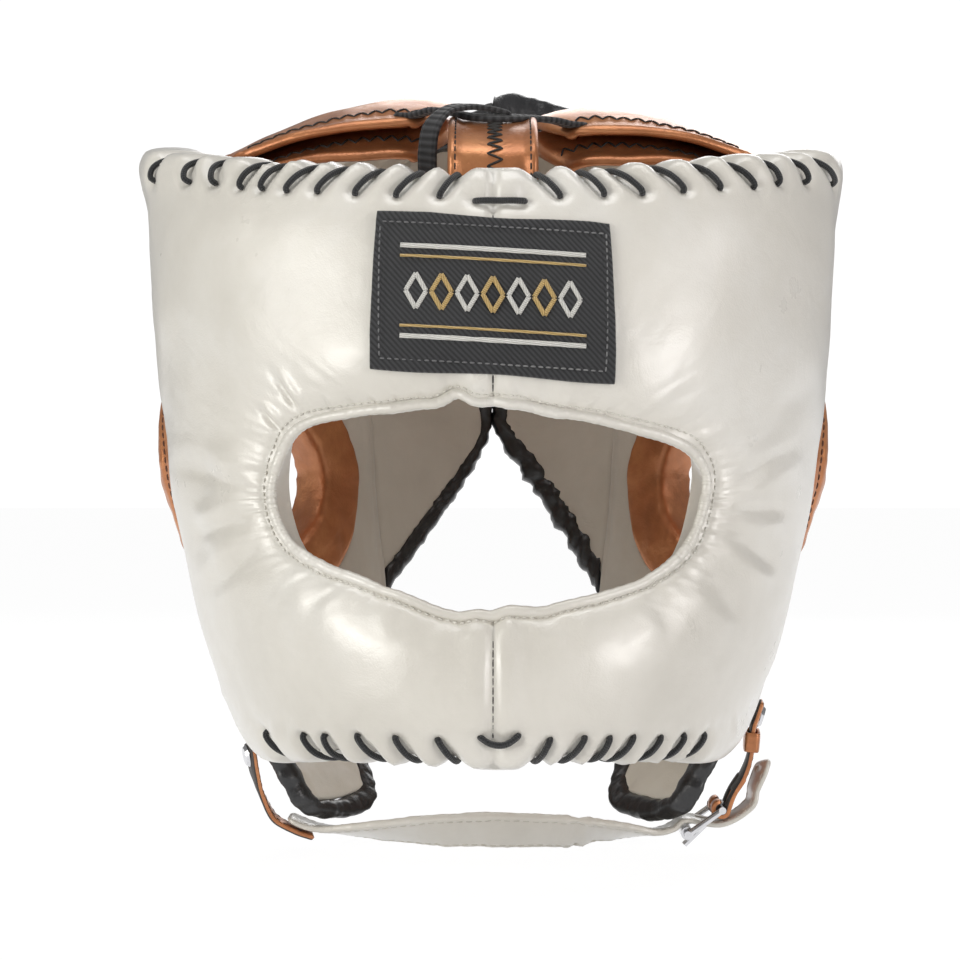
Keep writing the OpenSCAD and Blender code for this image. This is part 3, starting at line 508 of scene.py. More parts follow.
pearl = leather("pearl_leather", (0.64, 0.61, 0.545), (0.73, 0.70, 0.635), (0.80, 0.78, 0.73), 0.32,
                grain=900, coat=0.8, wrinkle=0.22, tint=14, sheen=0.12, coat_rough=0.28, shine=0.75)
copper = leather("copper_leather", (0.34, 0.13, 0.05), (0.52, 0.20, 0.08), (0.70, 0.31, 0.13), 0.34,
                 grain=800, coat=0.25, metallic=0.55, wrinkle=0.4, tint=40)
black = leather("black_leather", (0.008, 0.008, 0.009), (0.014, 0.014, 0.016), (0.03, 0.03, 0.033), 0.34,
                grain=700, coat=0.35, wrinkle=0.6, tint=60)
cream = leather("cream_leather", (0.76, 0.71, 0.61), (0.86, 0.81, 0.71), (0.92, 0.88, 0.80), 0.5,
                grain=800, coat=0.08, wrinkle=0.35, tint=26)
# Near-black material for the straps' inner face: painted shade standing in for the shadow on that face
painted_shade_inside = leather("strap_inside_painted_shade", (0.03, 0.025, 0.022), (0.05, 0.042, 0.038), (0.07, 0.06, 0.055), 0.6)
dark_thread = leather("dark_thread", (0.015, 0.014, 0.013), (0.03, 0.028, 0.026), (0.05, 0.045, 0.04), 0.7)
pale_thread = leather("pale_thread", (0.55, 0.53, 0.47), (0.68, 0.66, 0.60), (0.8, 0.78, 0.72), 0.6)
brown_thread = leather("brown_thread", (0.05, 0.02, 0.01), (0.09, 0.035, 0.018), (0.13, 0.055, 0.03), 0.7)
grey_thread = leather("label_thread", (0.10, 0.10, 0.10), (0.16, 0.16, 0.165), (0.22, 0.22, 0.22), 0.7)
lace_mat = woven("lace_cord", (0.006, 0.0065, 0.0075), (0.022, 0.024, 0.027), (4.2, 25.13, True))
flat_lace_mat = woven("flat_lace", (0.006, 0.006, 0.007), (0.035, 0.035, 0.038), (2.6, 0.0, False))
twill = woven("label_twill", (0.008, 0.008, 0.009), (0.032, 0.033, 0.036), (3.2, 3.2, False), 0.6)
gold_thread = woven("gold_thread", (0.42, 0.27, 0.09), (0.70, 0.50, 0.20), (5.0, 5.0, False))
white_thread = woven("white_thread", (0.55, 0.54, 0.50), (0.85, 0.84, 0.80), (5.0, 5.0, False))
lining, fuzz, steel = lining_material(), fuzz_material(), chrome_material()

# -------- front shell
FACE_END, LINING_END = -DRAW, -PAD + DRAW - 2
CAMERA_AT, PX = np.array([0.0, -900.0, 0.0]), 2480.0
AIM_LEFT, AIM_UP, PICTURE = 13.0 / PX, 20.0 / PX, 960.0
OPEN_HALF_W, OPEN_HALF_H = 76.0, 33.0

# Outline of the eye opening (x away from the middle, z), from the bottom seam up to the top seam, on each side
OPENING = {
    1: [(0, -36.5), (13, -35), (25, -32.4), (42, -28), (56, -23), (67, -13), (72.6, 3), (70, 11), (62, 17),
        (44, 22), (30, 25), (16, 27), (8, 30), (3, 30.6), (0, 29.6)],
    -1: [(0, -36.5), (12, -37), (31, -30.5), (49, -24), (63, -18), (72, -10), (76, 2), (70.5, 16), (62, 23.5),
         (46, 26.5), (27, 28.6), (18, 29.4), (11, 33), (5, 31), (0, 29.6)]}


def top_z(th):
    return mix(TOP_FRONT, TOP_SIDE, (np.abs(th) / SHELL_A) ** 1.4)


# The shell's outer edge on one side: angle, height, and turn about the opening from the bottom up
EDGE = np.array([
    [0, HEM + 2.6, -90], [22, HEM + 2.6, -72], [44, HEM + 1, -54], [62, HEM - 0.8, -38], [76, HEM + 5, -26],
    [84, HEM + 22, -16], [88, -30, -7], [89, 5, 0], [89, 45, 8], [88, 85, 18],
    [87, top_z(87), 32], [68, top_z(68), 44], [50, top_z(50), 56], [30, top_z(30), 68],
    [14, top_z(14), 79], [0, TOP_FRONT, 90]], float)
EDGE_ROWS = np.arange(len(EDGE))
HALF = len(EDGE) - 1
CORNER_ROW = 9.9

# Columns, in the picture, of the whip lace's upper and lower ends along the top edge and the hem
TOP_TURNS = [(149, 153), (181, 187), (208, 214), (247, 239), (269, 260), (302, 284), (333, 315), (372, 353),
             (414, 394), (454, 438), (541, 562), (588, 606), (621, 645), (667, 686), (707, 722), (741, 756),
             (777, 779), (806, 807), (827, 834)]
HEM_TURNS = [(266, 276), (303, 313), (324, 331), (356, 372), (394, 409), (436, 452), (551, 540), (586, 570),
             (610, 601), (634, 621), (661, 650), (684, 675), (704, 695)]

# Folds of the leather as the picture shows them: one end's x and z, the other's, depth, width
CREASES = [
    (-62, 27, -72, 42, 1.5, 1.2), (-68, 21, -77, 31, 1.2, 1.1), (-52, 28, -55, 34, 0.7, 0.8),
    (-45, 29, -47, 34, 0.6, 0.8), (-38, 29, -39, 33, 0.5, 0.8), (-76, 2, -112, 14, 1.0, 3.5),
    (-77, -6, -104, -12, 0.9, 3.0), (-74, -14, -100, -34, 1.0, 3.5), (-96, 24, -100, -8, 0.7, 5.0),
    (-90, -30, -106, -2, 0.6, 4.0), (76, 4, 104, 20, 0.9, 3.0), (77, -4, 100, -3, 0.9, 2.5),
    (75, -10, 97, -24, 1.1, 3.0), (86, 14, 104, 40, 0.5, 4.0), (66, -22, 84, -42, 0.8, 3.5),
    (50, -27, 58, -44, 0.6, 3.0), (-52, -26, -60, -40, 0.5, 3.0), (-28, -32, -30, -44, 0.4, 2.5),
    (22, -35, 26, -48, 0.4, 2.5), (-14, 31, -15, 42, 0.5, 2.0), (16, 31, 18, 42, 0.5, 2.0)]


def opening(a, side):
    """Angle and height of the eye opening's edge, at turn a from the bottom (-90) to the top (90)."""
    th, z = np.zeros(a.shape), np.zeros(a.shape)
    for sign, outline in OPENING.items():
        line = softened(catmull(outline, np.linspace(0, len(outline) - 1, 600)), 24)
        turn = np.degrees(np.arctan2(line[:, 1] / OPEN_HALF_H, line[:, 0] / OPEN_HALF_W))
        x, height = np.interp(a, turn, np.abs(line[:, 0])), np.interp(a, turn, line[:, 1])
        th = np.where(side == sign, np.degrees(np.arcsin((x / half_w(height)) ** (1 / FRONT_BOW))), th)
        z = np.where(side == sign, height, z)
    return th, z


def crowned(v):
    return 1 - np.abs(2 * v - 1) ** 3.2


def face_depth(v):
    return FACE_END * (1 - crowned(v))


def ring_section(n_face, n_wall, n_back, face, back, bulge, swell):
    """Closed section of a padded ring: shares v across it, its depths, and where the face part lies.
    bulge is the outer edge's roundness and swell the inner edge's, as shares of the width."""
    v, vb = spread(n_face, 0.35), spread(n_back, 0.35)[::-1]
    turn = np.radians(np.linspace(90, -90, n_wall + 2)[1:-1])
    mid, half = (face(1.0) + back(1.0)) / 2, (face(1.0) - back(1.0)) / 2
    c, sn = np.cos(turn), np.sin(turn)
    outer = np.stack([1 + bulge * c, mid + half * sn])
    inner = np.stack([-swell * c, mid - half * sn])
    full = np.concatenate([np.stack([v, face(v)]), outer, np.stack([vb, back(vb)]), inner], 1)
    return full[0], full[1], np.repeat([0, 1, 2, 3], [n_face, n_wall, n_back, n_wall])


def shell_points(rows, v, out):
    k = np.where(rows <= HALF, rows, 2 * HALF - rows)
    side = np.where(rows <= HALF, 1.0, -1.0)
    # the top corners are only a little rounded
    sharp = np.mean([rows_at(k + d, EDGE_ROWS, EDGE) for d in np.linspace(-0.16, 0.16, 7)], 0)
    e = mix(catmull(EDGE, k), sharp, smooth((3.2 - np.abs(k - CORNER_ROW)) / 1.2)[:, None])
    a, z = opening(e[:, 2], side)
    v = v + 0.1 * (1 - v) * smooth(-out / PAD)
    th = side[:, None] * mix(a[:, None], e[:, :1], v[None, :])
    return place(th, mix(z[:, None], e[:, 1:2], v[None, :]), out[None, :])


def corner(p):
    """How far the leather's top corners stand out sideways at points in mm."""
    share = smooth((np.abs(p[..., 0]) - 96) / 24) * smooth((p[..., 2] - 92) / 34)
    return share * np.where(p[..., 0] > 0, 4.5, -6.5)


def angle_seen(px, z):
    """Angle round the shell of the place that the camera sees in column px at height z."""
    th = np.linspace(-88, 88, 400)
    p = place(th, z, -4.0)
    p[..., 0] += corner(p)
    d = p - CAMERA_AT
    along = d[:, 1] * math.cos(AIM_LEFT) - d[:, 0] * math.sin(AIM_LEFT)
    across = d[:, 0] * math.cos(AIM_LEFT) + d[:, 1] * math.sin(AIM_LEFT)
    return float(np.interp(px, PICTURE / 2 + across / along * PX, th))


def lace_turns():
    """Each turn of the whip lace: its path over the edge, and whether it is on the top edge."""
    turns = []
    for columns, up in ((TOP_TURNS, 1), (HEM_TURNS, -1)):
        for top, low in columns:
            near, far = (top, low) if up > 0 else (low, top)
            edge = TOP_FRONT if up > 0 else HEM
            th = angle_seen(near, edge)
            if up > 0:
                th = angle_seen(near, top_z(th))
                edge = top_z(th)
            else:
                edge = np.interp(abs(th), EDGE[:4, 0], EDGE[:4, 1])
            far = angle_seen(far, edge - up * 7)
            inside = th * 0.985
            path = ((far, -7.6, FACE_END + 1.4), (mix(th, far, 0.8), -5.9, FACE_END + 3.7),
                    (mix(th, far, 0.35), -2.2, FACE_END + 2.3), (th, 0.2, FACE_END - 1.4), (inside, 1.1, -14.0),
                    (inside, 0.2, LINING_END + 1.6), (inside, -3.5, LINING_END - 2.2),
                    (inside, -7.0, LINING_END - 2.4))
            turn = np.array([place(a, edge + up * rise, depth) for a, rise, depth in path])
            turn[:, 0] += corner(turn)
            turns.append((turn, up > 0))
    # the flat turn across the seam, at the top and at the hem
    x = np.array([-8.5, -7.2, -4, 0, 4, 7.2, 8.5])
    th = np.sign(x) * np.degrees(np.arcsin((np.abs(x) / BROW_W) ** (1 / FRONT_BOW))) + 0.9
    lift = np.array([-1.2, 0.7, 1.5, 1.1, 1.5, 0.7, -1.2])
    for z, up, dip in ((TOP_FRONT, 1, 0.0), (HEM + 1.5, -1, 3.0)):
        drop = 8.5 + dip * (1 - (x / 7.2) ** 2) * -0.8
        turns.append((place(th, z - up * drop, face_depth(0.88) + lift), up > 0))
    return turns


def tree_of(points):
    tree = KDTree(len(points))
    for i, q in enumerate(points):
        tree.insert(Vector(q), i)
    tree.balance()
    return tree


def nearest(p, targets, limit=12.0):
    """Distance from each point to the nearest target, up to a limit."""
    tree = tree_of(targets)
    found = np.array([tree.find(Vector(q))[2] for q in p.reshape(-1, 3)])
    return np.minimum(found, limit).reshape(p.shape[:-1])


def crease(p, ax, az, bx, bz, depth, width):
    """A fold pressed into the leather between two places, depth and width in mm."""
    a, b = np.array([ax, az], float), np.array([bx, bz], float)
    q = p[..., [0, 2]] - a
    t = np.clip((q @ (b - a)) / ((b - a) @ (b - a)), 0, 1)
    away = q - t[..., None] * (b - a)
    side = np.sign(away[..., 0] * (b - a)[1] - away[..., 1] * (b - a)[0])
    d = np.linalg.norm(away, axis=-1)
    ends = smooth(np.minimum(t, 1 - t) / 0.35)
    return depth * ends * (-bell(d, width) + 0.7 * bell(d * side - 1.9 * width, 1.2 * width))


def front_shell():
    rows = np.linspace(0, 2 * HALF, int(620 * DETAIL), endpoint=False)
    v, out, part = ring_section(int(46 * DETAIL) + 4, 9, int(30 * DETAIL) + 4, face_depth,
                                lambda q: -PAD + (DRAW - 2) * (1 - crowned(q)), 0.02, 0.006)
    p = shell_points(rows, v, out)
    p[..., 0] += corner(p) * smooth((v - 0.6) / 0.4)[None, :]
    n = normals_of(p, True)
    if n[0, 10, 1] > 0:
        n = -n
    face, back, inner = ((part == i)[None, :] for i in (0, 2, 3))
    x, z, vv = p[..., 0], p[..., 2], v[None, :]
    # the leather swells between the turns of lace and sinks under them
    d = nearest(p, lace_points)
    edge = np.where(inner, 0, smooth((vv - 0.82) / 0.16))
    lift = edge * (2.3 * smooth((d - 1.5) / 5.5)) - 2.0 * bell(d, 2.3)
    lift = np.where(back, 0.5 * lift, lift)
    # seam down the middle, with the leather puffed on both sides of it
    seam = np.abs(x)
    middle = -1.6 * bell(seam, 0.9) + 0.8 * bell(seam - 5, 4)
    block = bell(seam - 4.8, 4.2) * smooth((0.2 - vv) / 0.2)
    share = np.where(face, mix(0.35, 1, smooth(vv / 0.12)), 0.2)
    lift += np.where(face | inner, middle * share + 1.7 * block, 0)
    # soft unevenness, and the folds that run out from the opening
    lift += np.where(back, 0.6, 1.1) * noises(p, 52, 3.1, 2)
    lift += np.where(face, sum(crease(p, *c) for c in CREASES), 0)
    near = bell(vv, 0.16)
    turn = np.degrees(np.arctan2(z / OPEN_HALF_H, x / (OPEN_HALF_W - 2)))
    pleats = noises(stack(turn * 1.3, near * 6, 4.0), 9, 7.7)
    lift += np.where(face, 0.75 * near * pleats, 0)
    lift += np.where(face, -0.6 * bell(vv - 0.028, 0.014), 0)
    lift += 0.12 * noises(p, 9, 9.4)
    # short upright puckers above the hem
    hem = bell(vv - 0.85, 0.06) * smooth((-50 - z) / 15)
    lift += np.where(face, 1.1 * hem * noises(np.stack([x, 0.15 * z, 0 * x], -1), 8, 2.9), 0)
    p = p + n * lift[..., None]
    obj = grid("front_shell", p, [pearl, lining], wrap_u=True, pick=np.where(back, 1, 0))
    return obj, p, outward(normals_of(p, True), n, 0), v, part


LACES = lace_turns()
lace_points = np.concatenate([resample(p, 1.2)[0] for p, _ in LACES])
shell_obj, shell_p, shell_n, sec_v, sec_part = front_shell()
FACE_COLS = np.where(sec_part == 0)[0]
dress(shell_obj, "shell", "pearl_leather", "shell_cover_left", "shell_cover_right", "forehead_foam",
      "cheek_foam_left", "cheek_foam_right", "bar_foam_outer", "bar_foam_inner", "front_lining", "face_bar",
      fill=0.85)


def face_line(v):
    """A line along the face at share v from the eye opening (0) to the outer edge (1), with its normals."""
    j = np.clip(np.searchsorted(sec_v[FACE_COLS], v), 1, len(FACE_COLS) - 1)
    a, b = FACE_COLS[j - 1], FACE_COLS[j]
    t = (v - sec_v[a]) / (sec_v[b] - sec_v[a])
    return mix(shell_p[:, a], shell_p[:, b], t), unit(mix(shell_n[:, a], shell_n[:, b], t))


def on_face(x, z):
    """Points of the displaced face in front of each (x, z), with their normals."""
    pts, nrm = shell_p[:, FACE_COLS].reshape(-1, 3), shell_n[:, FACE_COLS].reshape(-1, 3)
    tree = tree_of(pts[:, [0, 2, 1]] * [1, 1, 0])
    near = [tree.find_n(Vector((a, b, 0)), 4) for a, b in zip(x, z)]
    w = np.array([[1 / (h[2] + 0.05) for h in hits] for hits in near])
    w /= w.sum(1, keepdims=True)
    idx = np.array([[h[1] for h in hits] for hits in near])
    n = unit((nrm[idx] * w[..., None]).sum(1))
    return np.stack([x, (pts[idx, 1] * w).sum(1), z], -1), n


def rim():
    """Rolled leather rim round the eye opening, drawn in at its stitches."""
    line, _ = face_line(0.0)
    path = line + unit(-line * np.array([1, 0, 1.0])) * 0.4 + np.array([0, -0.2, 0])
    for _ in range(int(4 * DETAIL)):
        path = (np.roll(path, 1, 0) + 2 * path + np.roll(path, -1, 0)) / 4
    s = np.linspace(0, 2 * math.pi, len(line), endpoint=False)
    r = 1.75 + 0.07 * np.sin(s * 150) + 0.12 * np.sin(s * 9 + 1) + 0.08 * np.sin(s * 23)
    return grid("eye_rim_roll", tube_points(path, r, 12, [0, 1.0, 0], wrap=True), [pearl], wrap_u=True)


def laces():
    batches = {True: Batch(), False: Batch()}
    sides = 12
    for path, is_top in LACES:
        flat = np.ptp(path[:, 2]) < 4
        up = UP if flat else unit(np.array([-path[2][1], path[2][0], 0.0]))
        p, s = resample(path, 0.8)
        taper = rounded(np.minimum(s, s[-1] - s), LACE_R, 0.04)
        uv = stack(s[:, None], (np.arange(sides) / sides)[None, :])
        batches[is_top].add(tube_points(p, LACE_R * taper, sides, up), uv=uv)
    return batches[True].build("whip_lace_top", lace_mat), batches[False].build("whip_lace_hem", lace_mat)


def shell_threads():
    line, n = (closed(q) for q in face_line(0.028))
    middle = []
    for low, high in ((OPEN_UP + 5, TOP_FRONT - 12), (HEM + 9.5, -OPEN_DOWN - 3)):
        z = np.arange(low, high, 0.8)
        path, up = on_face(z * 0, z)
        middle.append((path - 0.1 * up, up))
    return (stitching("rim_stitching", pale_thread, [(line + 0.15 * n, n)], 1.3, 1.1, 0.34),
            stitching("middle_stitching", dark_thread, middle, 2.6, 0.35, 0.27))


dress(rim(), "shell", "pearl_leather", "eye_rim")
for piece, node in zip(laces(), ("top_lacing", "bottom_lacing")):
    dress(piece, "shell", "lace_cord", node)
for piece in shell_threads():
    dress(piece, "shell", "pearl_leather")

# -------- label patch
LABEL_W, LABEL_H, LABEL_Z, LABEL_TILT = 78.0, 51.0, 64.5, math.radians(3.4)


def label_surface(a, b, out):
    """Points over the shell's smooth form, a across and b up from the middle of the patch, in mm."""
    z = LABEL_Z + b - a * math.tan(LABEL_TILT)
    th = np.sign(a) * np.degrees(np.arcsin(np.clip(np.abs(a) / half_w(z), 0, 1) ** (1 / FRONT_BOW)))
    under = face_depth((z - OPEN_UP) / (TOP_FRONT - OPEN_UP)) + 1.25
    e = 0.5
    n = unit(np.cross(place(th + e, z, under) - place(th - e, z, under),
                      place(th, z + e, under) - place(th, z - e, under)))
    return place(th, z, under) + np.where(n[..., 1:2] > 0, -n, n) * np.asarray(out)[..., None]


def bar(batch, a0, b0, a1, b1, width):
    """A satin stitched bar of the label's motif."""
    k = np.linspace(0, 1, max(4, int(math.hypot(a1 - a0, b1 - b0) / 0.8)))
    a, b = mix(a0, a1, k), mix(b0, b1, k)
    pts = label_surface(a, b, 0 * k + 0.85)
    nrm = unit(label_surface(a, b, 0 * k + 1.85) - pts)
    side = np.cross(nrm, unit(np.gradient(pts, axis=0)))
    cx, cy = superellipse(3, 2, 12)
    q = pts[:, None] + side[:, None] * cx[None, :, None] * width / 2 + nrm[:, None] * cy[None, :, None] * 0.45
    batch.add(q, uv=stack((k * 9)[:, None], cx[None, :] * width))


def label_patch():
    size = (LABEL_W, LABEL_H)
    def surf(u, v, out):
        across = (u - 0.5) * LABEL_W * (1 - 0.05 * v)
        return label_surface(across, (v - 0.5) * LABEL_H + 0.8 * np.sin(u * 9) * (v - 0.5), out)
    def relief(u, v, q, side):
        d = inset(u, v, size)
        return 0.45 * smooth((4.6 - d) / 0.8) - 0.35 * bell(d - 3.4, 0.35) - 0.35 if side > 0 else 0 * d
    obj = pillow("label_patch_twill", surf, size, 1.0, -0.4, 0.9, [twill], step=0.9, relief=relief)
    corners = np.array([[-35.6, 22], [35.6, 22], [35.6, -22], [-35.6, -22.0]])
    t = np.linspace(0, 1, 160)[:, None]
    ring = np.concatenate([mix(a, b, t) for a, b in zip(corners, np.roll(corners, -1, 0))])
    path, above = (label_surface(ring[:, 0], ring[:, 1], 0 * ring[:, 0] + h) for h in (0.95, 1.95))
    stitches = stitching("label_stitching", grey_thread, [(path, above - path)], 1.5, 0.9, 0.3)
    gold, white = Batch(), Batch()
    for batch, height, width in ((white, 14.5, 1.6), (gold, 11.2, 0.9)):
        for level in (height, -height):
            bar(batch, -29, level, 29, level, width)
    for i in range(7):
        a = -24 + 8 * i
        for side in (-3.2, 3.2):
            for end in (5.6, -5.6):
                bar(gold if i % 2 else white, a + side, 0, a, end, 1.5)
    motif = gold.build("label_gold_motif", gold_thread), white.build("label_white_motif", white_thread)
    return obj, stitches, *motif


for piece, nodes in zip(label_patch(), (["label_patch"], [], [], [])):
    dress(piece, "shell", "label_twill", *nodes)

# -------- side panels and ear covers
SIDE_A, CREASE_A, CORNER_A, NECK_Z = SHELL_A + 0.3, HINGE_A - 0.4, 132.0, -38.0
SIDE_HEM = HEM + 3
SEAM_AT = 0.93


def hand(mirror):
    return "right" if mirror else "left"


def flip(p, mirror):
    return p * MIRROR if mirror else p


def layers(part, name):
    """The CAD nodes of a padded panel."""
    return [f"{part}_{layer}_{name}" for layer in ("cover", "foam", "lining")]


def side_low(th):
    return mix(SIDE_HEM, -57.0, (th - SIDE_A) / (CORNER_A - SIDE_A))


# The side panel's outer edge: angle, height, and turn about the ear hole
SIDE_EDGE = np.array([
    [SIDE_A, SIDE_HEM, 225], [108, side_low(108), 256], [121, side_low(121), 280],
    [CORNER_A, side_low(CORNER_A), 300], [139, -47, 312], [CREASE_A, NECK_Z, 324], [CREASE_A, -10, 342],
    [CREASE_A, 25, 370], [CREASE_A, 65, 392], [CREASE_A, 115, 410], [CREASE_A, 172, 424], [134, 163, 434],
    [121, 152, 445], [108, 140, 456], [98, 130, 465],
    [SIDE_A, TOP_SIDE, 478], [SIDE_A, 80, 500], [SIDE_A, 40, 520], [SIDE_A, 0, 542], [SIDE_A, -42, 565],
    [SIDE_A, SIDE_HEM, 585]], float)


def side_points(rows, v, out):
    turn = np.radians(rows[:, 2:3])
    a, z = EAR_A + EAR_DA * np.cos(turn), EAR_Z + EAR_H * np.sin(turn)
    return drape(mix(a, rows[:, :1], v[None, :]), mix(z, rows[:, 1:2], v[None, :]), out[None, :])


def stood_up(p, mirror):
    """The crown's rear edge stands up, as the picture shows it: a little more on the wearer's left."""
    x = p[..., 0]
    rise = 4 + (0 if mirror else 7) * smooth((x + 4) / 14) * (1 - 0.35 * smooth((x - 20) / 30))
    return p + (rise * smooth((p[..., 2] - 120) / 24) * smooth((p[..., 1] + 20) / 40))[..., None] * UP


def side_panel(mirror):
    last = len(SIDE_EDGE) - 1
    rows = rows_at(np.linspace(0, last, int(420 * DETAIL), endpoint=False), np.arange(last + 1), SIDE_EDGE)
    v, out, part = ring_section(int(30 * DETAIL) + 4, 7, int(26 * DETAIL) + 4, lambda q: -4 * (1 - crowned(q)),
                                lambda q: -SIDE_T + 3 * (1 - crowned(q)), 0.012, 0.02)
    p = stood_up(side_points(rows, v, out), mirror)
    n = normals_of(p, True)
    if (n[:, 12] * (p[:, 12] - side_points(rows, v, 0 * out - SIDE_T / 2)[:, 12])).sum() < 0:
        n = -n
    back = (part == 2)[None, :]
    lift = np.where(back, 1.0, 0.7) * noises(p, 34, 5.2)
    # upright folds in the lining
    th = np.degrees(np.arctan2(p[..., 0], -p[..., 1]))
    waves = noises(np.stack([th * 1.3, p[..., 2] * 0.12, 0 * th], -1), 9, 1.7)
    lift += np.where(back, 1.3, 0.3) * waves * smooth(np.where(back, 1, 0.4) + 0 * th)
    lift -= 0.7 * bell(np.abs(v - SEAM_AT)[None, :], 0.012) * np.where(back, 0.5, 1)
    p = flip(p + n * lift[..., None], mirror)
    name = hand(mirror)
    seam = int(np.argmin(np.abs(v - SEAM_AT) + 9 * (part > 0)))
    up = normals_of(p, True)[:, seam]
    up = up * np.sign((up * (p[:, seam] * [1, 1, 0])).sum())
    line = p[:, seam] + 0.1 * up
    thread = stitching("side_panel_stitching_" + name, pale_thread, [(line, up)], 2.6, 1.2, 0.34)
    dress(thread, "shell", "pearl_leather")
    obj = grid("side_panel_" + name, p, [pearl, lining], wrap_u=True, pick=np.where(back, 1, 0))
    dress(obj, "shell", "pearl_leather", *layers("side", name), fill=0.8)


def ear_points(a, q, out):
    """Points of the ear cover: turn a about the hole, share q out from its edge, out mm off the panel."""
    turn = np.radians(a)
    ease = np.where(out > 0, 1 - 0.6 * np.maximum(0, np.cos(turn)), 1)
    return drape(EAR_A + (EAR_DA + 8.5 * q) * np.cos(turn), EAR_Z + (EAR_H + 19 * q) * np.sin(turn), out * ease)


# The ear cover's section: share out from the hole's edge, and depth off the panel
EAR_LOOP = np.array([
    [0.86, -13.6], [0.84, -15.6], [0.5, -16.6], [0.1, -17.0], [-0.12, -15.4], [-0.2, -9], [-0.2, -2],
    [-0.16, 3.2], [-0.02, 7.2], [0.2, 8.9], [0.5, 9.0], [0.78, 6.6], [0.94, 3.2], [1.0, 1.4], [0.97, 0.5],
    [0.6, 0.5], [0.1, 0.5], [-0.04, 0.2], [-0.08, -4], [-0.08, -10], [-0.04, -12.6], [0.2, -13.4]])


def ear_cover(mirror):
    fine = catmull(closed(EAR_LOOP), np.linspace(0, len(EAR_LOOP), int(96 * DETAIL), endpoint=False))
    share, depth = fine[None, :, 0], fine[None, :, 1]
    a = np.linspace(0, 360, int(240 * DETAIL), endpoint=False)[:, None]
    p = ear_points(a, share, depth + 0 * a)
    n = outward(normals_of(p, True), p, p.mean(1, keepdims=True))
    ripple = noises(stack(a * 0.5, share * 4, depth * 0.1), 6, 3.3, 2)
    lift = 0.8 * noises(p, 22, 8.1) + smooth(depth / 3) * (-0.8 * bell(share - 0.86, 0.03) + 0.5 * ripple)
    p = flip(p + n * lift[..., None], mirror)
    j = int(np.argmin(np.abs(fine[:, 0] - 0.87) + np.where(fine[:, 1] > 2, 0, 9)))
    line, up = closed(p[:, j]), closed(flip(n[:, j], mirror))
    name = hand(mirror)
    obj = grid("ear_cover_roll_" + name, p, [copper], wrap_u=True)
    dress(obj, "shell", "copper_leather", "ear_cover_" + name, fill=0.8)
    thread = stitching("ear_stitching_" + name, brown_thread, [(line + 0.15 * up, up)], 2.2, 1.0, 0.36)
    dress(thread, "shell", "copper_leather")


for mirror in (False, True):
    side_panel(mirror)
    ear_cover(mirror)

# -------- rear flaps, yokes and their bindings
FLAP_A, MID_A, BOUND_A, APEX_Z, FLAP_TOP = HINGE_A + 0.4, 179.6, 170.5, 32.0, 98.0
YOKE_LOW, YOKE_TOP, CROWN_TOP = FLAP_TOP + 0.8, 173.0, 197.0
UNDER_SIDE, UNDER_BINDING, SEAM_IN = 1.7, 3.5, 0.3
PANEL_EDGE, BINDING_OUT = 4.5, 0.9


def neck_edge(th, arch):
    share = (th - FLAP_A) / (MID_A - FLAP_A)
    return mix(NECK_Z, APEX_Z, share) + arch * np.sin(np.pi * np.clip(share, 0, 1)) ** 2


def crown_edge(th):
    return mix(YOKE_TOP, CROWN_TOP, (th - FLAP_A) / (MID_A - FLAP_A))


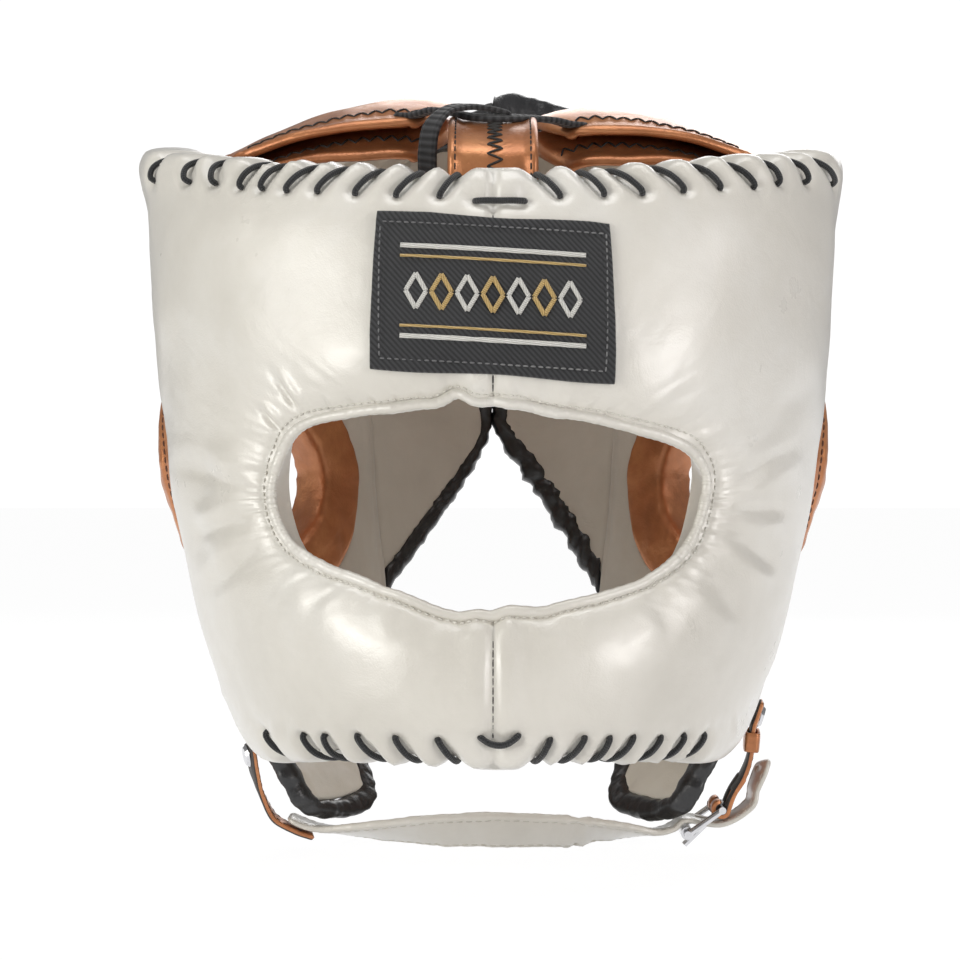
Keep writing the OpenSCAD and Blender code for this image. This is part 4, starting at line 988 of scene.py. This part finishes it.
def rear_pieces(mirror):
    name = hand(mirror)
    body, arch, wide, pucker = "rear_flap_" + name, *((0.0, 11.5, 1.2) if mirror else (5.0, 15.5, 1.9))
    def surf(th, h, out):
        return flip(stood_up(drape(th, h, out), mirror), mirror)
    def flap(u, v, out):
        th = mix(FLAP_A - UNDER_SIDE, BOUND_A + UNDER_BINDING, u)
        return surf(th, mix(neck_edge(th, arch) + 6.5, FLAP_TOP, v), out)
    def folds(u, v, q, side):
        fan = np.degrees(np.arctan2(q[..., 2] - 95, np.abs(q[..., 0]) - 8)) * 0.35
        return (1.3 if side < 0 else 0.8) * noises(np.stack([fan, 0 * u, 0 * u], -1), 5, 6.1)
    def yoke(u, v, out):
        th = mix(FLAP_A, BOUND_A + UNDER_BINDING, u)
        return surf(th, mix(YOKE_LOW, crown_edge(th) - 5.5, v), out)
    cloth = [pearl, lining]
    panel = pillow("rear_flap_panel_" + name, flap, (55, 90), 0.0, -REAR_T, PANEL_EDGE, cloth, relief=folds)
    dress(panel, body, "pearl_leather", *layers("rear", name), fill=0.75)
    t = np.linspace(0, 1, 7)
    th_o, th_i = mix(FLAP_A, MID_A, t), mix(FLAP_A, BOUND_A + SEAM_IN, t)
    h = np.array([50, 66, 82, FLAP_TOP])
    outer = np.concatenate([stack(th_o, neck_edge(th_o, arch)), stack(MID_A + 0.55, h)])
    inner = np.concatenate([stack(th_i, neck_edge(th_i, arch) + wide), stack(BOUND_A + SEAM_IN, h)])
    bind = edging("rear_binding_roll_" + name, outer, inner, surf, BINDING_OUT, -REAR_T - 1.2, pucker=pucker)
    dress(bind, body, "black_leather", "rear_binding_" + name)
    top = pillow("rear_yoke_panel_" + name, yoke, (50, 78), 0.0, -REAR_T, PANEL_EDGE, cloth)
    dress(top, "shell", "pearl_leather", "rear_yoke_" + name, fill=0.75)
    h = np.array([YOKE_LOW, 130, 160.0])
    outer = np.concatenate([stack(MID_A, h), stack(th_o, crown_edge(th_o))[::-1]])
    inner = np.concatenate([stack(BOUND_A + SEAM_IN, h), stack(th_i, crown_edge(th_i) - 9)[::-1]])
    edge = edging("yoke_binding_roll_" + name, outer, inner, surf, BINDING_OUT, -REAR_T - 1.0, pucker=0.9)
    dress(edge, "shell", "black_leather", "yoke_binding_" + name)
    outer = [(CORNER_A + 0.6, side_low(CORNER_A) - 0.2), (139, -47.4), (CREASE_A, NECK_Z - 0.4)]
    inner = [(CORNER_A + 0.6, side_low(CORNER_A) - 9.4), (139, -56.6), (CREASE_A, NECK_Z - 9.6)]
    roll = edging("neck_binding_roll_" + name, outer, inner, surf, -3.2, -14.8, pucker=0.6)
    dress(roll, "shell", "black_leather", "side_binding_" + name)


CLOSURE_Z, CLOSURE_SIZE = 71.0, (72, 44)


def closure():
    lift_at = ([156, 170, 184, 192, 206], [1.7, 1.7, 1.0, 0.5, 0.5])
    def strap(u, v, out):
        th = mix(155.5, 206.5, u)
        half = 22 - 5 * (1 - rounded(u, 0.1))
        return drape(th, CLOSURE_Z + half * (2 * v - 1), np.interp(th, *lift_at) + out)
    def sewn(u, v, q, side):
        d = inset(u, v, CLOSURE_SIZE)
        return -0.35 * bell(d - 3.5, 0.5) if side > 0 else 0 * d
    def patch(u, v, out):
        return drape(mix(152.6, 168.4, u), CLOSURE_Z + 18.4 * (2 * v - 1), out)
    obj = pillow("closure_strap_leather", strap, CLOSURE_SIZE, 2.6, 0.0, 1.3, [pearl, fuzz], 1.6, sewn)
    dress(obj, "closure_strap", "pearl_leather", "closure_strap")
    t = np.linspace(0, 1, 60)
    u = np.concatenate([0.05 + 0.9 * t, 0 * t + 0.95, 0.95 - 0.9 * t, 0 * t + 0.05])
    v = np.concatenate([0 * t + 0.08, 0.08 + 0.84 * t, 0 * t + 0.92, 0.92 - 0.84 * t])
    line, above = (strap(u, v, 0 * u + height) for height in (2.35, 3.35))
    thread = stitching("closure_strap_stitching", pale_thread, [(line, above - line)], 2.4, 1.1, 0.36)
    dress(thread, "closure_strap", "pearl_leather")
    loops = pillow("loop_patch_fuzz", patch, (22, 37), 1.4, 0.2, 0.5, [fuzz], step=1.2)
    dress(loops, "rear_flap_left", "lace_cord", "loop_patch")


for mirror in (False, True):
    rear_pieces(mirror)
closure()

# -------- crown petals, tab and their lace
FLAT_T = 2.6
PETAL_GAP = -9


def bow(a, b, c, t):
    """Quadratic curve from a past b to c."""
    return a * (1 - t) ** 2 + b * (2 * t * (1 - t)) + c * t ** 2


def petal_sheet(s, w, drop):
    """Upper layer of a petal: s out from its tip to the shell's wall, w from its front to its back."""
    tip = mix(np.array([16.0, -44, 129 - drop]), np.array([10.0, 8, 145 - drop * 1.5]), w)
    middle = mix(np.array([58.0, -52, 128]), np.array([60.0, 20, 147]), w)
    back = np.interp(w[..., 0], [0, 0.5, 0.75, 1], [PAD, PAD, PAD - 2, SIDE_T + 2]) + 2
    wall = place(mix(61, 102, w[..., 0]), mix(120, 121, w[..., 0]), -back)
    across = np.sin(np.pi * w)
    rise = 6 * across * np.sin(np.pi / 2 * (1 - s)) - 5.5 * (1 - np.clip(s / 0.3, 0, 1)) ** 2 * across
    return bow(tip, middle, wall, s) + UP * rise


def petal(mirror):
    """A leather sheet folded over at its outer end: lower layer, fold and upper layer in one."""
    t = np.linspace(0, 1, int(44 * DETAIL) + 6)
    turn = np.radians(np.linspace(180, 0, 11))[1:-1]
    low = np.stack([t, PETAL_GAP * (1 - 0.35 * t), 0 * t], -1)
    fold = np.stack([0 * turn + 1, PETAL_GAP * 0.65 / 2 * (1 - np.cos(turn)), 3.2 * np.sin(turn)], -1)
    row = np.concatenate([low, fold, np.stack([t[::-1], 0 * t, 0 * t], -1)])
    w = spread(int(60 * DETAIL) + 8)
    s3, w3 = row[:, 0][:, None, None], w[None, :, None]
    p = petal_sheet(s3 + 0 * w3, w3 + 0 * s3, 0.0 if mirror else 4.0)
    p = p + UP * row[:, 1][:, None, None] * (1.3 - 0.95 * w3) + ACROSS * row[:, 2][:, None, None]
    # the tip's corners are rounded
    corners = 13 * (1 - np.clip(s3 / 0.3, 0, 1)) ** 2 * np.abs(2 * w3 - 1) ** 2.6
    p[..., :2] += corners * unit([1.0, 0.2])
    p[..., 2:] += 0.9 * np.sin(w3 * 5 + s3 * 3) * (1 - s3) + 0.7 * noises(p, 26, 4.4, 2)[..., None]
    n = normals_of(p, False, False)
    n = n * (-1 if n[-3, len(w) // 2, 2] < 0 else 1)
    # the rim of the sheet is turned under, so its edges are rolls
    d = np.minimum(np.minimum(w, 1 - w)[None, :] * 46, np.minimum(row[:, 0], 1)[:, None] * 62)
    half = FLAT_T / 2 * (1 + 0.35 * bell(d - 1.5, 1.6) - 0.12 * bell(d - 5.2, 0.9)) * rounded(d, 1.7, 0.02)
    body = np.concatenate([p + n * half[..., None], (p - n * half[..., None])[:, ::-1]], 1)
    body, p, n = (flip(q, mirror) for q in (body, p, n))
    stitches = Batch()
    for share in (0.16, 0.88):
        lane = int(np.argmin(np.abs(w - share)))
        for first, last in ((3, len(t) - 4), (len(t) + len(turn) + 3, len(row) - 5)):
            face = n[first:last, lane] * (1 if first > len(t) else -1)
            side = unit(p[first:last, lane + 1] - p[first:last, lane - 1])
            zigzag(stitches, p[first:last, lane] + face * (FLAT_T / 2 + 0.1), face, side)
    name = hand(mirror)
    dress(grid("crown_petal_sheet_" + name, body, [copper]), "shell", "copper_leather", "crown_petal_" + name)
    dress(stitches.build("crown_petal_stitching_" + name, dark_thread), "shell", "copper_leather")


def crown_tab():
    """Strip sewn inside the forehead, up over its edge and folded back on itself to hold the lace."""
    over = place(0, TOP_FRONT + 2, -PAD - 0.9 + 0.5)
    path = [place(0, TOP_FRONT - 12, -PAD - 0.4), over] + [over + np.array([0, y, z]) for y, z in (
        (1.8, 9), (12.8, 17), (30.8, 23), (34.8, 20), (29.8, 16.5), (14.8, 10), (6.3, 1.5))]
    wide = 30.0
    pts, s = resample(path, 1.0 / DETAIL)
    n = np.cross(unit(np.gradient(pts, axis=0)), ACROSS)
    j = spread(int(34 * DETAIL) + 8) * 2 - 1
    d = (1 - np.abs(j)) * wide / 2
    edge = np.minimum(d[None, :], np.minimum(s, s[-1] - s)[:, None])
    hem = 1 + 0.45 * bell(d - 1.6, 1.6) - 0.15 * bell(d - 5, 0.9)
    half = FLAT_T / 2 * hem[None, :] * rounded(edge, 1.6, 0.03)
    arch = n[:, None] * (1.2 * (1 - j ** 2) - 0.6)[None, :, None] * smooth(s / 16)[:, None, None]
    mid = pts[:, None] + ACROSS * (j * wide / 2)[None, :, None] + arch
    lift = 0.35 * noises(mid, 18, 9.4, 2)[..., None]
    top, under = mid + n[:, None] * (half[..., None] + lift), mid - n[:, None] * (half[..., None] - lift)
    obj = grid("crown_tab_loop", np.concatenate([top, under[:, ::-1]], 1), [copper])
    dress(obj, "shell", "copper_leather", "crown_tab")
    span = slice(int(len(s) * 0.14), int(len(s) * 0.56))
    down = -n[span]
    batch = Batch()
    zigzag(batch, under[span, len(j) // 2] + down * 0.2, down, np.tile(ACROSS, (len(down), 1)), 2.6, 4.6, 0.42)
    edges = [(under[span, int(len(j) * k)] + down * 0.1, down * 0.3) for k in (0.2, 0.8)]
    thread = stitching("crown_tab_stitching", dark_thread, edges, 2.2, 1.0, 0.28, batch)
    dress(thread, "shell", "copper_leather")


def crown_lace():
    path = [[-34, -38.8, 133.3], [-28, -40.6, 133.2], [-21, -46, 134.2], [-14, -52, 132.6], [-7, -56, 130.6],
            [0, -57.5, 130], [7, -56, 130.2], [14, -52, 130.6], [21, -46, 130.8], [27, -41.4, 130.0],
            [32, -38.8, 129.8]]
    turns = [0, 0, 6, 14, 18, 18, 18, 14, 6, 0, 0]
    p, uv, pts, cx, cy = ribbon_points(path, turns, 8, 2.0, 0.9, 2.0, 40, (5, 3))
    s = uv[:, 0, 0]
    ribs = (0.16 * np.cos(cx * 5 * np.pi)[None, :] + 0.05 * np.sin(s * 3.6)[:, None]) * np.abs(cy)
    n = outward(normals_of(p), p, pts[:, None])
    obj = grid("crown_lace_flat", p + n * ribs[..., None], [flat_lace_mat], uv=uv)
    dress(obj, "shell", "lace_cord", "crown_lace")
    tail = [[-22, -64, 108], [-22, -68, 117], [-20.5, -68, 125.5], [-15.5, -64, 131.6], [-8.5, -59.6, 133.4],
            [-1, -57, 133.2], [6, -56, 131.6]]
    q, uv, pts, cx, cy = ribbon_points(tail, [62, 62, 55, 30, 12, 8, 8], 7, 1.9, 0.9, 2.0, 40, (5, 3))
    q = q + normals_of(q) * (0.14 * np.cos(cx * 5 * np.pi) * np.abs(cy))[None, :, None]
    dress(grid("crown_lace_tail", q, [flat_lace_mat], uv=uv), "shell", "lace_cord")


for mirror in (False, True):
    petal(mirror)
crown_tab()
crown_lace()

# -------- chin flaps
FLAP_GAP = 0.6
LOW_W = float(half_w(SIDE_HEM))

# Outer and inner line of a flap's binding, from its front hinge to the middle of its lower end
FLAP_OUTER = np.array([[0.05, 0], [0.25, 0], [0.45, 0], [0.65, 0], [0.82, 0], [0.95, 0.03], [1, 0.14], [1, 0.3],
                       [1, 0.5]])
FLAP_INNER = np.array([[0.05, 0.14], [0.22, 0.14], [0.4, 0.14], [0.56, 0.14], [0.7, 0.145], [0.79, 0.17],
                       [0.83, 0.22], [0.835, 0.35], [0.835, 0.5]])


def and_back(line):
    """The line of (s, w) places and its mirror image, as one."""
    return np.concatenate([line, (line[:-1] * [1, -1] + [0, 1])[::-1]])


def flap_at(s, w):
    """Middle layer of a chin flap: s down from its hinge line, w from its front edge to its back edge."""
    th = mix(SIDE_A - 5, CORNER_A - 0.5, w)
    hinge_z = side_low(np.maximum(th, SIDE_A)) - FLAP_GAP - 9 * smooth((w - 0.8) / 0.18)
    w3 = w[..., None]
    mid = mix(np.array([LOW_W - 22, -14, SIDE_HEM - 18]), np.array([LOW_W - 43, 42, SIDE_HEM - 12]), w3)
    end = bow(np.array([LOW_W - 26, -12, SIDE_HEM - 29]), np.array([LOW_W - 38, 4, SIDE_HEM - 40]),
              np.array([LOW_W - 53, 16, SIDE_HEM - 31]), w3)
    return bow(place(th, hinge_z, -SIDE_T * 0.75), mid, end, s[..., None])


def chin_flap(mirror):
    name = hand(mirror)
    def surf(s, w, lift):
        s, w, lift = np.broadcast_arrays(*[np.asarray(a, float) for a in (s, w, lift)])
        n = unit(stack(1.0, mix(-0.2, 0.8, w), -0.3))
        return flip(flap_at(s, w) + n * lift[..., None], mirror)
    def field(u, v, out):
        return surf(0.84 * u, mix(0.125, 0.875, v), out)
    def relief(u, v, q, side):
        return 0.9 * noises(q, 15, 3.7)
    obj = pillow("chin_flap_field_" + name, field, (38, 44), 2.2, -2.2, 2.0, [cream], step=1.4, relief=relief)
    dress(obj, "shell", "cream_leather", "chin_flap_" + name, fill=0.6)
    roll = edging("flap_binding_roll_" + name, and_back(FLAP_OUTER), and_back(FLAP_INNER), surf, 3.7, -3.7,
                  step=1.2, pucker=0.8)
    dress(roll, "shell", "black_leather", "flap_binding_" + name)


for mirror in (False, True):
    chin_flap(mirror)

# -------- chin strap, buckle and keeper
STRAP_W, STRAP_T, STRAP_Z, SLOPE = 20.0, 2.2, -119.9, math.radians(35)
SIDE_TURN = 5.0
SIDE_X = float(half_w(-78)) - 4 + STRAP_T / 2 + 0.62
WIRE_R, BAR_GAP, BUCKLE_L = 1.3, 0.15, 15.0
BAR_AT = np.array([SIDE_X - 11.6, 0, STRAP_Z + 8.9])
TOWARD = np.array([-math.cos(SLOPE), 0, -math.sin(SLOPE)])
OUTWARD = np.array([math.sin(SLOPE), 0, -math.cos(SLOPE)])
LOOP_R = WIRE_R + BAR_GAP + STRAP_T


def in_buckle(along, out):
    return BAR_AT + TOWARD * along + OUTWARD * out


def cut(obj, at, tilt, half, sides=0):
    """Cuts a hole through a piece, tilted about y: round where sides is given, else a slot of half sizes."""
    bm = bmesh.new()
    if sides:
        r = half[0] * MM
        bmesh.ops.create_cone(bm, cap_ends=True, segments=sides, radius1=r, radius2=r, depth=half[2] * 2 * MM)
    else:
        bmesh.ops.create_cube(bm, size=2.0)
        bmesh.ops.scale(bm, vec=Vector(half) * MM, verts=bm.verts)
    turn = Euler((0, math.radians(tilt), 0)).to_matrix().to_4x4()
    bmesh.ops.transform(bm, matrix=Matrix.Translation(Vector(at) * MM) @ turn, verts=bm.verts)
    mesh = bpy.data.meshes.new("cutter")
    bm.to_mesh(mesh)
    bm.free()
    cutter = add_object("cutter", mesh)
    mod = obj.modifiers.new("cut", "BOOLEAN")
    mod.object, mod.operation, mod.solver = cutter, "DIFFERENCE", "EXACT"
    bpy.context.view_layer.update()
    done = bpy.data.meshes.new_from_object(obj.evaluated_get(bpy.context.evaluated_depsgraph_get()))
    obj.modifiers.remove(mod)
    obj.data = done
    bpy.data.objects.remove(cutter)


def chin_strap():
    over, inside = LOOP_R + 0.3 + STRAP_T / 2, -(WIRE_R + 1 + 0.3 + STRAP_T / 2)
    path = [BAR_AT + [16.4, 2, 16.6], BAR_AT + [14.8, 1, 12.2], BAR_AT + [12.6, 0.5, 6.8],
            in_buckle(-9, over + 0.6), in_buckle(3, over - 0.3),
            in_buckle(BUCKLE_L - 2.4, inside), in_buckle(BUCKLE_L + 3, inside),
            [58, 0, STRAP_Z - 0.4], [44, -3, STRAP_Z + 0.3], [22, -7, STRAP_Z + 1.0], [0, -8, STRAP_Z + 1.4],
            [-22, -7, STRAP_Z + 1.0], [-44, -3, STRAP_Z + 0.3], [-60, 0, STRAP_Z + 0.6],
            [-68, 0, STRAP_Z + 2.5], [-74, 0, STRAP_Z + 5.3]]
    turns = [-6, -6, -4, -2, 0, 0, 0, 5, 22, 38, 42, 36, 20, 5, 0, 0]
    thick = [2.2] * 7 + [2.6, 3.2, 3.4, 3.4, 3.4, 3.2, 2.8, 2.4, 2.2]
    wide = [17] + [18] * 6 + [18.5, 19.5, 20, 20, 20, 19.5, 18.5, 18, 18]
    p, uv, pts, cx, cy = ribbon_points(path, turns, wide, thick, 0.8, 2.5, 52, (9, 3))
    s, x = uv[:, 0, 0], pts[:, 0]
    n = outward(normals_of(p), p, pts[:, None])
    # slack and crumpled between the flaps, with a groove along each edge
    slack, crumple = smooth((56 - np.abs(x)) / 12)[:, None], bell(x - 31, 7)[:, None]
    folds = stack((s * 0.9)[:, None], (cx * 4)[None, :], 0.0)
    lift = slack * (0.35 + 1.1 * crumple) * noises(folds, 7, 2.2)
    lift -= 0.35 * (bell(np.abs(cx) - 0.78, 0.06) * np.abs(cy))[None, :]
    p = p + n * lift[..., None]
    obj = grid("chin_strap_leather", p, [pearl], uv=uv)
    cut(obj, in_buckle(6, 2.1), 90 - math.degrees(SLOPE), (4.2, 2.1, 5.6))
    cut(obj, BAR_AT + [15.2, 1.5, 13.2], 108, (1.3, 1.3, 4), 24)
    dress(obj, "chin_strap", "cream_leather", "chin_strap")
    lanes = [int(np.argmin(np.abs(cx - at) + face)) for face in (cy < 0, cy > 0) for at in (0.78, -0.78)]
    lines = [(p[6:-4, j], n[6:-4, j] * 0.3) for j in lanes]
    thread = stitching("chin_strap_stitching", pale_thread, lines, 2.3, 1.1, 0.28)
    dress(thread, "chin_strap", "cream_leather")


def leather_strap(name, path, turns, wide, *nodes):
    p, uv, pts, cx, cy = ribbon_points(path, turns, wide, STRAP_T, 0.7, 1.4, 44, (9, 4))
    n = outward(normals_of(p), p, pts[:, None])
    groove = -0.25 * (bell(np.abs(cx) - 0.76, 0.06) * np.abs(cy))[None, :]
    p = p + n * (groove + 0.12 * noises(p, 7, 6.6, 2))[..., None]
    # the inner face (cy < -0.3) gets the near-black material: painted shade, not the leather's own colour
    obj = grid(name, p, [copper, painted_shade_inside], uv=uv, pick=np.where(cy < -0.3, 1, 0)[None, :])
    dress(obj, "chin_strap", "copper_leather", *nodes)
    edges = (0.76, -0.76) if np.max(wide) > 8 else (0.4,)
    lanes = [int(np.argmin(np.abs(cx - q) + 2 * (cy < 0))) for q in edges]
    lines = [(p[3:-3, j], n[3:-3, j] * 0.25) for j in lanes]
    dress(stitching(name + "_stitching", dark_thread, lines, 2.0, 0.9, 0.26), "chin_strap", "copper_leather")


def side_straps():
    middle = WIRE_R + BAR_GAP + STRAP_T / 2
    round_bar = [BAR_AT + OUTWARD * middle * math.cos(t) - TOWARD * middle * math.sin(t)
                 for t in np.radians(range(60, -221, -40))]
    path = [[SIDE_X + 3.8, 0, -72.5], [SIDE_X + 2, 0, -78], [SIDE_X + 0.4, 0, -83], [SIDE_X - 0.4, 0, -92],
            BAR_AT + [8.6, 0, 11.5], BAR_AT + [4.6, 0, 5.2]]
    leather_strap("buckle_strap_leather", path, [SIDE_TURN] * 4 + [3, 1], [20] * 4 + [19, 18], "buckle_strap")
    for name, y in (("front", -5.6), ("rear", 5.6)):
        loop = [q + np.array([0, y, 0]) for q in path[-2:] + round_bar]
        leather_strap("buckle_loop_" + name, loop, [1, 1] + [0] * len(round_bar), 6.9)
    low = LOW_W - 7.7
    path = [[-low - 0.7, -5, -87.6], [-low, -5, -92], [-low + 1.4, -4.5, -99], [-low + 3.8, -4, -106.5],
            [-79, -3, STRAP_Z + 5.1], [-71.5, -2, STRAP_Z + 0.7], [-65, -1, STRAP_Z - 1.7]]
    leather_strap("anchor_strap_leather", path, [-18, -18, -14.4, -7.2, -1.8, 0, 0], 12, "anchor_strap")


def keeper():
    """Thick leather loop round the doubled strap."""
    wall, slack, tall, square = 1.3, 0.5, 7.0, 2 / 0.28
    x, y = superellipse(square, square, 96)
    ring = stack(x * (STRAP_T / 2 + slack + wall / 2), y * (STRAP_W / 2 + slack + wall / 2), 0.0)
    out = np.cross(unit(np.roll(ring, -1, 0) - np.roll(ring, 1, 0)), UP)
    cx, cy = superellipse(5, 4, 28)
    p = ring[:, None] + out[:, None] * (cx * wall / 2)[None, :, None] + UP * (cy * tall / 2)[None, :, None]
    turn = Euler((0, math.radians(5), math.radians(-SIDE_TURN))).to_matrix()
    p = p @ np.array(turn).T + np.array([SIDE_X + 0.1, 0, -86.9])
    dress(grid("strap_keeper_loop", p, [copper], wrap_u=True), "strap_keeper", "copper_leather", "strap_keeper")


chin_strap()
side_straps()
keeper()
for node in ("buckle_frame", "buckle_roller", "buckle_tongue", "strap_rivet_left", "strap_rivet_right"):
    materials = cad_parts[node].data.materials
    materials.clear()
    materials.append(steel)

# -------- camera, light, floor
FLOOR_Z = -0.1265
SENSOR = 36.0
WHITE = (1, 1, 1, 1)

cam_data = bpy.data.cameras.new("camera")
cam_data.sensor_width = SENSOR
cam_data.lens = SENSOR * PX / PICTURE
cam_data.clip_start = 0.01
camera = add_object("camera", cam_data)
camera.location = Vector(CAMERA_AT) * MM
camera.rotation_euler = (math.pi / 2 + AIM_UP, 0, AIM_LEFT)
bpy.context.scene.camera = camera


def stage_material():
    """White floor that glows a little where the camera or a reflection sees it."""
    m, t, s = node_material("studio_white")
    settings(s, Base_Color=(0.9, 0.9, 0.9, 1), Roughness=0.8)
    rays = t.nodes.new("ShaderNodeLightPath").outputs
    seen = maths(t, "MAXIMUM", rays["Is Camera Ray"], rays["Is Glossy Ray"])
    glow = t.nodes.new("ShaderNodeEmission")
    settings(glow, Color=WHITE, Strength=1.08)
    part = t.nodes.new("ShaderNodeMixShader")
    t.links.new(maths(t, "MULTIPLY", seen, 0.88), part.inputs["Fac"])
    t.links.new(s.outputs[0], part.inputs[1])
    t.links.new(glow.outputs[0], part.inputs[2])
    t.links.new(part.outputs[0], t.nodes["Material Output"].inputs["Surface"])
    bump(t, s, (tex_noise(t, coordinates(t), 30, 3), 0.05, 0.2))
    return m


def floor():
    bm = bmesh.new()
    bmesh.ops.create_grid(bm, x_segments=8, y_segments=8, size=40.0)
    mesh = bpy.data.meshes.new("floor")
    bm.to_mesh(mesh)
    bm.free()
    mesh.materials.append(stage_material())
    obj = add_object("floor", mesh)
    obj.location = (0, 0, FLOOR_Z)


def lamp(name, at, target, size, energy, colour=(1, 1, 1)):
    data = bpy.data.lights.new(name, "AREA")
    data.shape = "RECTANGLE"
    data.size, data.size_y = size
    data.energy, data.color = energy, colour
    obj = add_object(name, data)
    obj.location = at
    obj.rotation_euler = (Vector(target) - Vector(at)).to_track_quat("-Z", "Y").to_euler()


floor()
lamp("key_left", (-1.25, -0.95, 0.5), (0, 0, 0.0), (1.0, 0.8), 6.2, (1.0, 0.985, 0.93))
lamp("key_right", (1.3, -0.85, 0.5), (0, 0, 0.0), (0.9, 0.7), 3.5, (1.0, 0.955, 0.945))
lamp("low_left", (-1.0, -1.0, 0.09), (0, -0.1, -0.05), (0.5, 0.34), 4.0, (1.0, 0.985, 0.95))
lamp("low_right", (1.0, -1.0, 0.09), (0, -0.1, -0.05), (0.45, 0.3), 3.4, (1.0, 0.97, 0.96))
lamp("top", (0, -0.3, 1.5), (0, 0, 0.05), (1.2, 0.8), 8)
lamp("back", (0.3, 1.4, 0.8), (0, 0, 0.05), (1.0, 0.8), 7)

world = bpy.data.worlds.new("studio")
bpy.context.scene.world = world
world.use_nodes = True
sky = world.node_tree
rays = sky.nodes.new("ShaderNodeLightPath").outputs
seen = maths(sky, "MAXIMUM", rays["Is Camera Ray"], rays["Is Transmission Ray"])
background = sky.nodes["Background"]
background.inputs["Color"].default_value = WHITE
sky.links.new(maths(sky, "MULTIPLY_ADD", seen, 0.80, 0.26), background.inputs["Strength"])
bpy.context.scene.view_settings.view_transform = "Standard"

bpy.context.view_layer.update()
